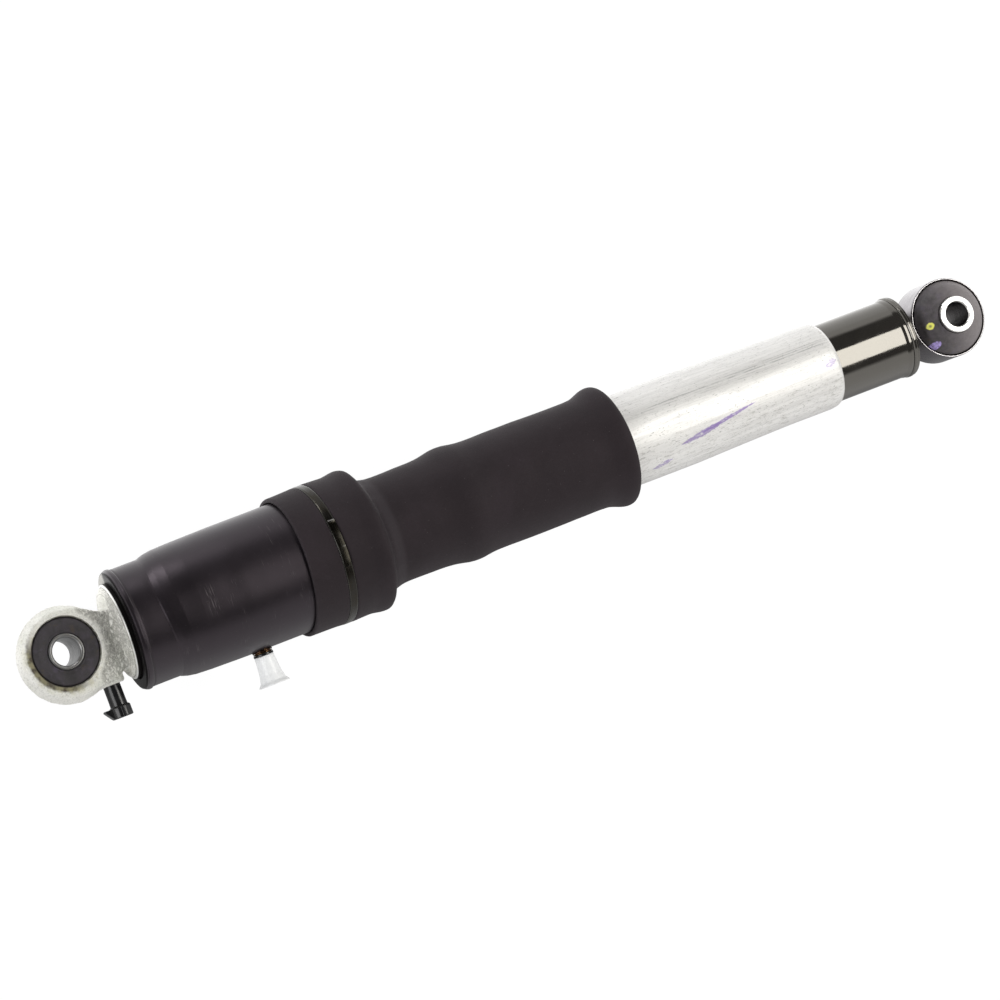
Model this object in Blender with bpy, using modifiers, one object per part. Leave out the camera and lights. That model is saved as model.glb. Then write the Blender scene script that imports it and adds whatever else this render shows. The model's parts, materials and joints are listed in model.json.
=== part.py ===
"""Rear air-levelling shock absorber, modelled at rest (fully extended).

Frame: the origin is the centre of the shock's box, +X runs along the shock towards the lower eye,
+Z is the direction of both bolts, so the electrical connector and the air port point along -Y.
Everything is first modelled about the upper eye's centre, and moved to its place at the end.
Lengths are millimetres and are turned into metres where objects are made.
An outline's columns are always (distance along the piece's axis, radius).
"""

import math

import bmesh
import bpy

MM = 0.001
GAP = 0.3  # between neighbouring pieces

# Segments round a turned piece
ROUND = 28  # the large pieces
STUB_ROUND = 20  # the connector and the port's cap
HIDDEN = 16  # the small and enclosed pieces
WIRE_WAY_ROUND = 10
TINY = 8  # contact pins and small holes

EYE_TO_EYE = 607.0

# The upper eye's centre in the finished part, whose origin is the centre of its box
EYE_X = -302.0
EYE_Y = 9.93

SMOOTH_ANGLE = math.radians(32)  # edges bent more than this are sharp

# Upper eye and its casting
UPPER_EYE_R = 28.8  # on the parting line
UPPER_EYE_FACE_R = 25.9
UPPER_EYE_HALF = 13.8
UPPER_EYE_EDGE = 0.6  # chamfer of the faces, and half the parting land
UPPER_BUSH_R = 20.7
UPPER_BUSH_HALF = 13.6
UPPER_BUSH_EDGE = 0.5
UPPER_SLEEVE_R = 10.7
UPPER_BOLT_R = 8.3
UPPER_MOUTH = 0.9  # chamfer of the bore's ends
UPPER_SLEEVE_HALF = 14.5
NECK_HALF = 13.0
NECK_EDGE = 1.5
FLANGE_R = 29.5
PLUG_R = 35.0
PLUG_END = 60.0
PLUG_BORE_R = 31.3
PLUG_GROOVE_START, PLUG_GROOVE_END = 50.6, 54.4
PLUG_GROOVE_R = 32.9

# Electrical connector, a stub that leaves the casting along -Y
CONNECTOR_X = 21.6
CONNECTOR_BORE_R = 5.45
CONNECTOR_END = 46.4
CONNECTOR_GROOVE_START, CONNECTOR_GROOVE_END = 22.4, 24.6
PIN_Z = 1.9  # each pin's distance from the connector's axis
BARB_SIZE = (4.4, 6.6, 6.0)
BARB_CENTRE = (13.6, -42.9, 0)
BARB_RAMP = 3.4  # how far the barb's -X side leans in at its -Y end

# The coil's lead
LEAD_X = 24.4  # where it drops towards the shock's axis
LEAD_BEND = 3.2
LEAD_R = 0.8

# Air can and the port on it
CAN_R = 39.9
CAN_WALL = 1.3
CAN_END = 194.6
CAN_BORE_R = PLUG_R + 0.35
CAN_LIP_R = FLANGE_R + 0.4
PORT_X = 115.0
PORT_HOLE_R = 5.2
FITTING_R = 4.6
FITTING_BORE_R = 2.9
FITTING_RING_BORE_R = 4.95  # the rings round the fitting
FITTING_END = 45.0
CAP_END = 64.4

# Rubber air sleeve, which folds back on itself into two layers
SLEEVE_START = 147.7
SLEEVE_SPLIT = 350.0  # the fold's own piece starts here
SLEEVE_T = 2.5
SLEEVE_R = 34.7  # over two layers
OUTER_LAYER_BORE_R = SLEEVE_R - SLEEVE_T
INNER_LAYER_R = OUTER_LAYER_BORE_R - GAP
INNER_LAYER_BORE_R = INNER_LAYER_R - SLEEVE_T
CLAMP_X = 167.8
CLAMP_W = 5.3
CLAMP_R = 43.7
CLAMP_SEAT_R = 42.2
CRIMP_X = 256.5
CRIMP_W = 9.5
CRIMP_R = 33.4

# Air piston, the bare aluminium tube
TUBE_TOP = 252.0
TUBE_END = 521.2
TUBE_R = 29.1
TUBE_BORE_R = 27.1
TUBE_NARROW_R = 27.5
TUBE_NARROW_BORE_R = 25.35

# Damper
DAMPER_TOP = 254.0
DAMPER_END = 572.6
DAMPER_R = 25.0
DAMPER_BORE_R = 22.9
DAMPER_MOUTH_R = 18.5
RETAINER_START, RETAINER_END = 261.9, 263.7  # the retaining ring's groove
RETAINER_SEAT_R = 24.1
FLOATING_X = 494.0
FLOATING_LENGTH = 12.0
FLOATING_R = 22.5

# Rod and the piston on its end
ROD_START = 33.5
ROD_R = 8.0
ROD_BORE_R = 2.2
ROD_THREAD_R = 6.7  # in the upper eye's casting
PISTON_STUD_R = 6.0
PISTON_TOP = 292.0
PISTON_GAP = 0.4  # between the pieces stacked along the rod
PLATE_T = 3.2
PLATE_R = 21.5
PLATE_PORTS = 6
PLATE_PORT_R = 1.6
PLATE_PORT_CIRCLE_R = 16.1
CORE_START, CORE_END = 296.0, 332.0
CORE_R = 15.3
COIL_START, COIL_END = 304.0, 324.0
COIL_SEAT_R = 11.0
BAND_START, BAND_END = 308.0, 320.0
BAND_SEAT_R = 20.8
FLUX_R = 22.2
FLUX_BORE_R = 16.9

# Lower eye
RING_R = 25.8
RING_BORE_R = 24.1
RING_HALF = 14.0
LOWER_BUSH_R = 23.8
LOWER_SLEEVE_R = 11.45
LOWER_BOLT_R = 7.55
LOWER_MOUTH = 0.5
LOWER_SLEEVE_HALF = 28.0

for old in list(bpy.data.objects):
    bpy.data.objects.remove(old, do_unlink=True)

parts = bpy.data.collections.new("air_levelling_rear_shock")
cutters = bpy.data.collections.new("cutters")
bpy.context.scene.collection.children.link(parts)
bpy.context.scene.collection.children.link(cutters)

# kind: (colour, roughness, metallic)
FINISH = {
    "cast_aluminium": ((0.58, 0.60, 0.55), 0.55, 0.9),
    "bush_rubber": ((0.035, 0.033, 0.035), 0.75, 0.0),
    "zinc_steel": ((0.62, 0.62, 0.60), 0.35, 1.0),
    "bright_steel": ((0.80, 0.80, 0.80), 0.25, 1.0),
    "hard_chrome": ((0.85, 0.85, 0.86), 0.08, 1.0),
    "satin_black_paint": ((0.030, 0.028, 0.031), 0.42, 0.0),
    "gloss_black_paint": ((0.020, 0.018, 0.017), 0.10, 0.0),
    "sleeve_rubber": ((0.033, 0.029, 0.032), 0.70, 0.0),
    "clamp_steel": ((0.10, 0.10, 0.11), 0.30, 1.0),
    "brushed_aluminium": ((0.78, 0.79, 0.78), 0.33, 1.0),
    "black_plastic": ((0.025, 0.025, 0.027), 0.40, 0.0),
    "white_plastic": ((0.85, 0.86, 0.86), 0.45, 0.0),
    "brass": ((0.72, 0.50, 0.22), 0.30, 1.0),
    "copper": ((0.80, 0.42, 0.25), 0.30, 1.0),
    "o_ring_rubber": ((0.020, 0.020, 0.020), 0.60, 0.0),
    "urethane": ((0.75, 0.68, 0.45), 0.60, 0.0),
    "wire_insulation": ((0.45, 0.03, 0.02), 0.50, 0.0),
}

# Rotations that lay local Z along a direction
TURN = {
    "X": (0, math.pi / 2, 0),
    "-Y": (math.pi / 2, 0, 0),
    "Z": (0, 0, 0),
}


# ---------------------------------------------------------------- tools
def material(kind, name):
    """A Principled material of the piece's own."""
    colour, roughness, metallic = FINISH[kind]
    made = bpy.data.materials.new(name + "_" + kind)
    made.use_nodes = True
    made.diffuse_color = (*colour, 1.0)
    shader = made.node_tree.nodes["Principled BSDF"]
    shader.inputs["Base Color"].default_value = (*colour, 1.0)
    shader.inputs["Roughness"].default_value = roughness
    shader.inputs["Metallic"].default_value = metallic
    return made


def put(obj, group, x=0.0, z=0.0):
    """Places an object at (x, 0, z) from the upper eye, under its group's empty."""
    obj.parent = group
    obj.location = ((x - group["axis_x"]) * MM, 0, z * MM)


def frame(name, x=0.0, parent=None):
    """An empty on the shock's axis that a rigid group hangs from."""
    empty = bpy.data.objects.new(name, None)
    empty.empty_display_size = 0.02
    parts.objects.link(empty)
    empty["axis_x"] = x
    if parent:
        put(empty, parent, x)
    return empty


def move_to(obj, collection):
    for where in list(obj.users_collection):
        where.objects.unlink(obj)
    collection.objects.link(obj)


def turned_object(name, outline, segments):
    """An object with a Screw modifier. The outline is a closed ring section, or an open line
    whose two ends lie on the axis."""
    on_axis = outline[0][1] == 0 and outline[-1][1] == 0
    pairs = zip(outline, outline[1:] + outline[:1])
    turning = sum(a[1] * b[0] - b[1] * a[0] for a, b in pairs)
    if turning > 0:  # the outer side has to run down the axis
        outline = outline[::-1]
    count = len(outline)
    edges = [(i, i + 1) for i in range(count - 1)]
    if not on_axis:
        edges.append((count - 1, 0))
    mesh = bpy.data.meshes.new(name)
    mesh.from_pydata([(radius * MM, 0, along * MM) for along, radius in outline], edges, [])
    obj = bpy.data.objects.new(name, mesh)
    screw = obj.modifiers.new("turn", "SCREW")
    screw.axis = "Z"
    screw.angle = 2 * math.pi
    screw.steps = screw.render_steps = segments
    screw.use_merge_vertices = True
    screw.merge_threshold = 0.00001
    screw.use_smooth_shade = True
    return obj


def turned(name, outline, kind, group, axis, x=0.0, z=0.0, segments=ROUND):
    """A turned piece whose outline is measured from (x, 0, z)."""
    obj = turned_object(name, outline, segments)
    obj.data.materials.append(material(kind, name))
    obj.rotation_euler = TURN[axis]
    parts.objects.link(obj)
    put(obj, group, x, z)
    return obj


def coaxial(name, outline, kind, group, segments=ROUND):
    """A piece turned about the shock's axis, with its origin at its group's.
    The outline's distances are measured from the upper eye."""
    start = group["axis_x"]
    local = [(along - start, radius) for along, radius in outline]
    return turned(name, local, kind, group, "X", x=start, segments=segments)


def helper(obj):
    """Marks an object as a cutter or a lump to be joined on."""
    move_to(obj, cutters)
    obj.hide_render = True
    obj.display_type = "WIRE"
    return obj


def cylinder(name, radius, length, segments, axis):
    bpy.ops.mesh.primitive_cylinder_add(
        vertices=segments, radius=radius * MM, depth=length * MM
    )
    obj = bpy.context.active_object
    obj.name = name
    obj.rotation_euler = TURN[axis]
    return obj


def cylinder_cutter(name, radius, start, end, segments, axis="X", at=(0, 0, 0)):
    """A cylinder from start to end along an axis through the point at."""
    obj = cylinder(name, radius, end - start, segments, axis)
    middle = (start + end) / 2
    shift = {"X": (middle, 0, 0), "-Y": (0, -middle, 0), "Z": (0, 0, middle)}[axis]
    obj.location = [(a + b) * MM for a, b in zip(at, shift)]
    return helper(obj)


def boolean(obj, other, operation="DIFFERENCE"):
    modifier = obj.modifiers.new(operation.lower() + "_" + other.name, "BOOLEAN")
    modifier.operation = operation
    modifier.solver = "EXACT"
    modifier.object = other


def hexagon(name, radius, start, end, kind, group, bore):
    """A hexagon nut along X with a plain bore."""
    obj = cylinder(name, radius, end - start, 6, "X")
    move_to(obj, parts)
    obj.data.materials.append(material(kind, name))
    put(obj, group, (start + end) / 2)
    boolean(obj, cylinder_cutter(name + "_bore", bore, start - 1, end + 1, HIDDEN))


def ring_section(start, end, inner, outer):
    return [(start, inner), (start, outer), (end, outer), (end, inner)]


def o_ring_section(middle, inner, outer):
    """A four-cornered section standing on its point."""
    half = (outer - inner) / 2
    centre = inner + half
    return [(middle + half, centre), (middle, outer), (middle - half, centre), (middle, inner)]


def bolt_sleeve(name, half, radius, bore, mouth, kind, group, x=0.0):
    """A bush's inner sleeve along Z, with chamfered ends to its bore."""
    outline = [
        (half, bore + mouth),
        (half, radius),
        (-half, radius),
        (-half, bore + mouth),
        (-half + mouth, bore),
        (half - mouth, bore),
    ]
    turned(name, outline, kind, group, "Z", x=x)


# One empty for each group that moves as one
upper = frame("upper_assembly")
upper_pin = frame("upper_bolt_sleeve_frame", parent=upper)
port = frame("air_port_frame", x=PORT_X, parent=upper)
piston = frame("air_piston_frame", x=TUBE_TOP, parent=upper)
lobe = frame("rolling_lobe_frame", x=SLEEVE_SPLIT, parent=upper)
damper = frame("damper_frame", x=DAMPER_TOP, parent=piston)
floating = frame("floating_piston_frame", x=FLOATING_X, parent=damper)
lower_pin = frame("lower_bolt_sleeve_frame", x=EYE_TO_EYE, parent=damper)


# ---------------------------------------------------------------- upper eye
def neck_lump():
    """The neck with a boss on its -Y side, a flat outline extruded both ways along Z."""
    outline = [  # (x, y)
        (-6, 20), (9, 26.2), (17, 22.6), (23, 19.0), (28.5, 15.2), (38, 14.5),
        (38, -22.0), (29.5, -22.6), (27.4, -24.6), (25.9, -27.2), (-7, -27.2),
    ]
    curve = bpy.data.curves.new("neck_outline", "CURVE")
    curve.dimensions = "2D"
    curve.fill_mode = "BOTH"
    curve.extrude = NECK_HALF * MM
    add_line(curve, outline).use_cyclic_u = True
    curve_object = bpy.data.objects.new("neck_outline", curve)
    cutters.objects.link(curve_object)
    bpy.context.view_layer.update()
    mesh = bpy.data.meshes.new_from_object(
        curve_object.evaluated_get(bpy.context.evaluated_depsgraph_get())
    )
    bpy.data.objects.remove(curve_object, do_unlink=True)

    # The curve's caps and sides come unjoined
    work = bmesh.new()
    work.from_mesh(mesh)
    bmesh.ops.remove_doubles(work, verts=work.verts, dist=1e-6)
    bmesh.ops.recalc_face_normals(work, faces=work.faces)
    work.to_mesh(mesh)
    work.free()

    neck = helper(bpy.data.objects.new("neck_lump", mesh))
    bevel = neck.modifiers.new("cast_edges", "BEVEL")
    bevel.width = NECK_EDGE * MM
    bevel.segments = 1
    bevel.limit_method = "ANGLE"
    bevel.angle_limit = math.radians(50)
    return neck


def add_line(curve, points):
    """Adds a straight-sided spline through (x, y) points to a curve."""
    spline = curve.splines.new("POLY")
    spline.points.add(len(points) - 1)
    for point, (x, y) in zip(spline.points, points):
        point.co = (x * MM, y * MM, 0, 1)
    return spline


def plug_lump():
    """The round flange and the plug that fills the can's end."""
    outline = [
        (28.0, 0), (28.0, 13.0), (32.8, 15.5), (35.4, 20.0), (37.3, 26.6), (38.3, 27.6),
        (38.6, FLANGE_R), (41.2, FLANGE_R), (41.2, 33.9), (42.3, PLUG_R),
        (PLUG_GROOVE_START, PLUG_R), (PLUG_GROOVE_START, PLUG_GROOVE_R),
        (PLUG_GROOVE_END, PLUG_GROOVE_R), (PLUG_GROOVE_END, PLUG_R),
        (PLUG_END, PLUG_R), (PLUG_END, PLUG_BORE_R), (44.0, PLUG_BORE_R),
        (44.0, 17.0), (50.0, 17.0), (50.0, 0),
    ]
    plug = turned_object("plug_lump", outline, ROUND)
    plug.rotation_euler = TURN["X"]
    return helper(plug)


def upper_eye_casting():
    """A drafted eye, the neck and the plug, joined into one casting and bored."""
    half_outline = [
        (UPPER_EYE_HALF, 0),
        (UPPER_EYE_HALF, UPPER_EYE_FACE_R - UPPER_EYE_EDGE),
        (UPPER_EYE_HALF - UPPER_EYE_EDGE, UPPER_EYE_FACE_R),
        (UPPER_EYE_EDGE, UPPER_EYE_R),
    ]
    outline = half_outline + [(-along, radius) for along, radius in half_outline[::-1]]
    casting = turned("upper_eye_casting", outline, "cast_aluminium", upper, "Z")
    boolean(casting, neck_lump(), "UNION")
    boolean(casting, plug_lump(), "UNION")
    bores = [  # name, radius, start, end, segments, axis, x
        ("bush_bore", UPPER_BUSH_R + GAP, -20, 20, ROUND, "Z", 0),
        ("connector_bore", CONNECTOR_BORE_R, 18.5, 34, HIDDEN, "-Y", CONNECTOR_X),
        ("wire_drop", 1.7, -0.5, 19.5, WIRE_WAY_ROUND, "-Y", LEAD_X),
        ("wire_way", 2.0, 23.2, 34.5, WIRE_WAY_ROUND, "X", 0),
        ("rod_socket", ROD_THREAD_R + GAP, ROD_START - GAP, 52, HIDDEN, "X", 0),
    ]
    for *cylinder_values, x in bores:
        boolean(casting, cylinder_cutter(*cylinder_values, at=(x, 0, 0)))


upper_eye_casting()
turned(
    "upper_bush_rubber",
    [
        (UPPER_BUSH_HALF, UPPER_SLEEVE_R + GAP),
        (UPPER_BUSH_HALF, UPPER_BUSH_R - UPPER_BUSH_EDGE),
        (UPPER_BUSH_HALF - UPPER_BUSH_EDGE, UPPER_BUSH_R),
        (-UPPER_BUSH_HALF + UPPER_BUSH_EDGE, UPPER_BUSH_R),
        (-UPPER_BUSH_HALF, UPPER_BUSH_R - UPPER_BUSH_EDGE),
        (-UPPER_BUSH_HALF, UPPER_SLEEVE_R + GAP),
    ],
    "bush_rubber", upper, "Z",
)
bolt_sleeve(
    "upper_bush_sleeve", UPPER_SLEEVE_HALF, UPPER_SLEEVE_R, UPPER_BOLT_R, UPPER_MOUTH,
    "zinc_steel", upper_pin,
)


# ---------------------------------------------------------------- connector
def connector_barb():
    """The barb that a plug's latch snaps behind."""
    bpy.ops.mesh.primitive_cube_add(size=1)
    barb = bpy.context.active_object
    barb.name = "connector_barb"
    barb.scale = [size * MM for size in BARB_SIZE]
    barb.location = [place * MM for place in BARB_CENTRE]
    bpy.ops.object.transform_apply(location=False, rotation=False, scale=True)
    for corner in barb.data.vertices:
        if corner.co.x < 0 and corner.co.y < 0:
            corner.co.x += BARB_RAMP * MM
    return helper(barb)


housing = turned(
    "connector_housing",
    [
        (31.0, 0), (31.0, 4.7), (CONNECTOR_END, 4.9), (CONNECTOR_END, 6.5), (40.0, 6.5),
        (39.0, 5.2), (CONNECTOR_GROOVE_END, 5.15), (CONNECTOR_GROOVE_END, 4.2),
        (CONNECTOR_GROOVE_START, 4.2), (CONNECTOR_GROOVE_START, 5.15),
        (19.3, 5.1), (19.3, 3.6), (27.0, 3.6), (27.0, 0),
    ],
    "black_plastic", upper, "-Y", x=CONNECTOR_X, segments=STUB_ROUND,
)
boolean(housing, connector_barb(), "UNION")
for number, pin_z in enumerate((PIN_Z, -PIN_Z), 1):
    hole = cylinder_cutter(
        f"pin_hole_{number}", 0.95, 25, 33, TINY, "-Y", (CONNECTOR_X, 0, pin_z)
    )
    boolean(housing, hole)
    turned(
        f"connector_pin_{number}",
        [(21.4, 0), (21.4, 0.6), (42.0, 0.6), (43.0, 0.3), (43.0, 0)],
        "brass", upper, "-Y", x=CONNECTOR_X, z=pin_z, segments=TINY,
    )
turned(
    "connector_o_ring",
    o_ring_section((CONNECTOR_GROOVE_START + CONNECTOR_GROOVE_END) / 2, 4.45, 5.25),
    "o_ring_rubber", upper, "-Y", x=CONNECTOR_X, segments=HIDDEN,
)

# ---------------------------------------------------------------- can
can_outside = [
    (39.3, CAN_LIP_R), (39.3, 33.8), (40.1, 35.9), (41.2, 36.9), (42.8, 37.4), (44.3, 37.2),
    (45.6, 36.65), (62.6, 36.65), (66.3, 37.7), (71.0, 38.8), (77.5, 39.3),
    (110.0, CAN_R), (186.0, 40.1), (191.8, 41.3), (CAN_END, 41.1),
]
can_inside = [
    (CAN_END - 0.3, 39.9), (186.0, 38.8), (110.0, CAN_R - CAN_WALL), (76.0, 38.0),
    (63.5, CAN_BORE_R), (42.1, CAN_BORE_R), (40.85, 34.1), (40.85, CAN_LIP_R),
]
can = coaxial("air_can", can_outside + can_inside, "satin_black_paint", upper)
boolean(can, cylinder_cutter("port_hole", PORT_HOLE_R, 30, 45, HIDDEN, "-Y", (PORT_X, 0, 0)))
coaxial(
    "can_o_ring",
    o_ring_section(
        (PLUG_GROOVE_START + PLUG_GROOVE_END) / 2, PLUG_GROOVE_R + GAP, CAN_BORE_R - GAP
    ),
    "o_ring_rubber", upper,
)

# Air port: a brass fitting through the can's wall, held by a round nut inside it
fitting_rings = [  # name, start, end, radius, kind
    ("air_fitting_nut", 34.6, 37.1, 8.5, "zinc_steel"),
    ("air_fitting_washer", 40.2, 41.2, 6.1, "copper"),
    ("air_fitting_collar", 42.9, FITTING_END, 5.9, "black_plastic"),
]
for name, start, end, radius, kind in fitting_rings:
    section = ring_section(start, end, FITTING_RING_BORE_R, radius)
    turned(name, section, kind, upper, "-Y", x=PORT_X, segments=HIDDEN)
turned(
    "air_fitting_body",
    [
        (34.8, FITTING_BORE_R), (34.8, FITTING_R), (41.5, FITTING_R), (41.5, 5.9),
        (42.6, 5.9), (42.6, FITTING_R), (FITTING_END, FITTING_R), (FITTING_END, FITTING_BORE_R),
    ],
    "brass", upper, "-Y", x=PORT_X, segments=HIDDEN,
)
turned(
    "air_port_cap",
    [
        (36.5, 0), (36.5, 2.2), (37.2, 2.55), (45.3, 2.55), (45.3, 6.1), (51.0, 6.2),
        (57.5, 7.0), (61.8, 7.9), (63.4, 9.3), (CAP_END, 9.3), (CAP_END, 7.4),
        (57.5, 5.8), (48.0, 4.9), (48.0, 0),
    ],
    "white_plastic", port, "-Y", x=PORT_X, segments=STUB_ROUND,
)

# ---------------------------------------------------------------- air sleeve
sleeve_outside = [
    (SLEEVE_START, 42.9),
    (CLAMP_X - GAP, 43.4),
    (CLAMP_X - GAP, CLAMP_SEAT_R),
    (CLAMP_X + CLAMP_W + GAP, CLAMP_SEAT_R),
    (CLAMP_X + CLAMP_W + GAP, 43.6),
    (187.5, 43.35), (191.5, 44.1), (195.5, 44.54), (198.3, 43.8), (200.6, 40.2),
    (202.6, 36.6), (206.0, 34.7), (211.0, 33.4), (217.0, 33.0), (246.0, 33.6),
    (259.0, 36.0), (267.0, 35.9), (275.0, SLEEVE_R), (SLEEVE_SPLIT, SLEEVE_R),
]
sleeve_inside = [
    (SLEEVE_SPLIT, OUTER_LAYER_BORE_R), (272.5, OUTER_LAYER_BORE_R),
    (268.5, 33.75), (255.8, 33.75), (252.0, 32.4), (246.0, 31.0), (212.0, 30.6),
    (204.6, 32.2), (200.6, 34.8), (198.4, 39.2), (197.0, 41.2), (195.4, 41.9),
    (191.2, 41.75), (186.0, 40.55), (SLEEVE_START, 40.5),
]
coaxial("air_sleeve_outer", sleeve_outside + sleeve_inside, "sleeve_rubber", upper)
coaxial(
    "outer_clamp_band",
    ring_section(CLAMP_X, CLAMP_X + CLAMP_W, CLAMP_SEAT_R + GAP, CLAMP_R),
    "clamp_steel", upper,
)
turned(
    "air_sleeve_fold",
    [  # distances from the split
        (GAP, SLEEVE_R), (5.5, 35.2), (11.0, 37.5), (14.5, 38.2), (17.6, 38.1),
        (19.6, 36.7), (20.8, 33.8), (21.3, 30.4), (20.3, INNER_LAYER_BORE_R),
        (GAP, INNER_LAYER_BORE_R), (GAP, INNER_LAYER_R), (15.6, 32.2), (16.8, 33.6),
        (14.6, 35.3), (5.0, 32.6), (GAP, OUTER_LAYER_BORE_R),
    ],
    "sleeve_rubber", lobe, "X", x=SLEEVE_SPLIT,
)
coaxial(
    "air_sleeve_inner",
    ring_section(TUBE_TOP + 0.5, SLEEVE_SPLIT, INNER_LAYER_BORE_R, INNER_LAYER_R),
    "sleeve_rubber", piston,
)
coaxial(
    "inner_crimp_ring",
    ring_section(CRIMP_X, CRIMP_X + CRIMP_W, INNER_LAYER_R + GAP, CRIMP_R),
    "clamp_steel", piston,
)

# ---------------------------------------------------------------- air piston tube
tube_outside = [
    (TUBE_TOP, 28.3), (TUBE_TOP + 0.8, TUBE_R), (418.5, TUBE_R), (445.0, 28.35),
    (473.5, 27.7), (485.0, TUBE_NARROW_R), (516.5, TUBE_NARROW_R), (519.8, 27.0),
    (TUBE_END, 25.9),
]
tube_inside = [
    (TUBE_END, TUBE_NARROW_BORE_R), (480.0, TUBE_NARROW_BORE_R),
    (420.0, TUBE_BORE_R), (TUBE_TOP, TUBE_BORE_R),
]
coaxial("air_piston_tube", tube_outside + tube_inside, "brushed_aluminium", piston)

# ---------------------------------------------------------------- damper body
coaxial(
    "damper_tube",
    [
        (DAMPER_TOP, DAMPER_MOUTH_R), (DAMPER_TOP, 23.6), (255.2, DAMPER_R),
        (RETAINER_START, DAMPER_R), (RETAINER_START, RETAINER_SEAT_R),
        (RETAINER_END, RETAINER_SEAT_R), (RETAINER_END, DAMPER_R),
        (DAMPER_END, DAMPER_R), (DAMPER_END, DAMPER_BORE_R),
        (256.3, DAMPER_BORE_R), (256.3, DAMPER_MOUTH_R),
    ],
    "gloss_black_paint", damper,
)
coaxial(
    "striker_cap",
    [
        (250.6, 9.0), (250.6, 26.3), (258.0, 26.3),
        (258.0, 25.35), (253.6, 25.35), (253.6, 9.0),
    ],
    "zinc_steel", damper,
)
coaxial(
    "rod_guide",
    [
        (256.6, 14.3), (256.6, DAMPER_BORE_R - GAP), (282.0, DAMPER_BORE_R - GAP),
        (282.0, 9.75), (264.6, 9.75), (264.6, 14.3),
    ],
    "cast_aluminium", damper, HIDDEN,
)
seat_inner, seat_outer = DAMPER_R + GAP, TUBE_BORE_R - GAP  # between damper and air piston
damper_rings = [  # name, section, kind, segments
    ("rod_seal", ring_section(257.0, 264.2, ROD_R + GAP, 13.9), "o_ring_rubber", HIDDEN),
    ("guide_bushing", ring_section(265.0, 281.6, ROD_R + GAP, 9.35), "brass", HIDDEN),
    (
        "tube_retaining_ring",
        ring_section(RETAINER_START + GAP, RETAINER_END - GAP, RETAINER_SEAT_R + GAP, 26.6),
        "zinc_steel", ROUND,
    ),
    (
        "piston_tube_o_ring_upper",
        o_ring_section(264.8, seat_inner, seat_outer), "o_ring_rubber", ROUND,
    ),
    (
        "piston_tube_spacer",
        ring_section(265.9, 275.7, seat_inner, 26.7), "cast_aluminium", ROUND,
    ),
    (
        "piston_tube_o_ring_lower",
        o_ring_section(276.8, seat_inner, seat_outer), "o_ring_rubber", ROUND,
    ),
]
for name, section, kind, segments in damper_rings:
    coaxial(name, section, kind, damper, segments)

base = coaxial(
    "base_cap",
    [
        (566.5, 0), (566.5, 22.4), (573.0, 22.4), (573.0, 25.9), (573.7, 26.2), (576.2, 26.2),
        (577.1, 25.0), (578.0, 22.9), (579.8, 20.8), (583.0, 18.4), (587.0, 14.0), (589.0, 0),
    ],
    "gloss_black_paint", damper,
)
boolean(
    base,
    cylinder_cutter("ring_saddle", RING_R + GAP, -30, 30, ROUND, "Z", (EYE_TO_EYE, 0, 0)),
)

# Gas piston that floats between the oil and the gas; distances from its upper face
turned(
    "floating_piston",
    [
        (5.0, 0), (5.0, 14.0), (0, 14.0), (0, FLOATING_R), (4.6, FLOATING_R), (4.6, 20.6),
        (7.4, 20.6), (7.4, FLOATING_R), (FLOATING_LENGTH, FLOATING_R), (FLOATING_LENGTH, 0),
    ],
    "cast_aluminium", floating, "X", x=FLOATING_X,
)
turned(
    "floating_piston_o_ring",
    o_ring_section(FLOATING_LENGTH / 2, 20.9, DAMPER_BORE_R - GAP),
    "o_ring_rubber", floating, "X", x=FLOATING_X,
)

# ---------------------------------------------------------------- lower eye
turned(
    "lower_eye_ring",
    ring_section(-RING_HALF, RING_HALF, RING_BORE_R, RING_R),
    "bright_steel", damper, "Z", x=EYE_TO_EYE,
)
dome = [  # the +Z half of the bush
    (13.0, LOWER_BUSH_R), (14.8, 23.4), (19.0, 20.6), (23.0, 15.4),
    (24.8, LOWER_SLEEVE_R + GAP),
]
turned(
    "lower_bush_rubber",
    dome[::-1] + [(-along, radius) for along, radius in dome],
    "bush_rubber", damper, "Z", x=EYE_TO_EYE,
)
bolt_sleeve(
    "lower_bush_sleeve", LOWER_SLEEVE_HALF, LOWER_SLEEVE_R, LOWER_BOLT_R, LOWER_MOUTH,
    "bright_steel", lower_pin, EYE_TO_EYE,
)

# ---------------------------------------------------------------- rod, held by the upper eye
coaxial(
    "piston_rod",
    [
        (315.0, 0), (315.0, ROD_BORE_R), (ROD_START, ROD_BORE_R), (ROD_START, ROD_THREAD_R),
        (56.5, ROD_THREAD_R), (56.5, ROD_R), (PISTON_TOP, ROD_R),
        (PISTON_TOP, PISTON_STUD_R), (342.0, PISTON_STUD_R), (342.0, 0),
    ],
    "hard_chrome", upper, HIDDEN,
)
hexagon("rod_jam_nut", 12.0, 50.4, 56.2, "zinc_steel", upper, ROD_THREAD_R + GAP)
coaxial("bump_stop_seat", ring_section(57.0, 60.0, 8.35, 30.7), "zinc_steel", upper, HIDDEN)
coaxial(
    "bump_stop",
    [
        (60.4, 8.4), (60.4, 20.0), (65.0, 20.0), (67.5, 16.5),
        (71.0, 17.5), (78.0, 13.0), (78.0, 8.4),
    ],
    "urethane", upper, HIDDEN,
)
coaxial(
    "rebound_bumper",
    ring_section(282.6, PISTON_TOP - PISTON_GAP, 8.35, 16.0),
    "urethane", upper, HIDDEN,
)

# ---------------------------------------------------------------- piston on the rod's end
STUD_HOLE_R = PISTON_STUD_R + GAP


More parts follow.
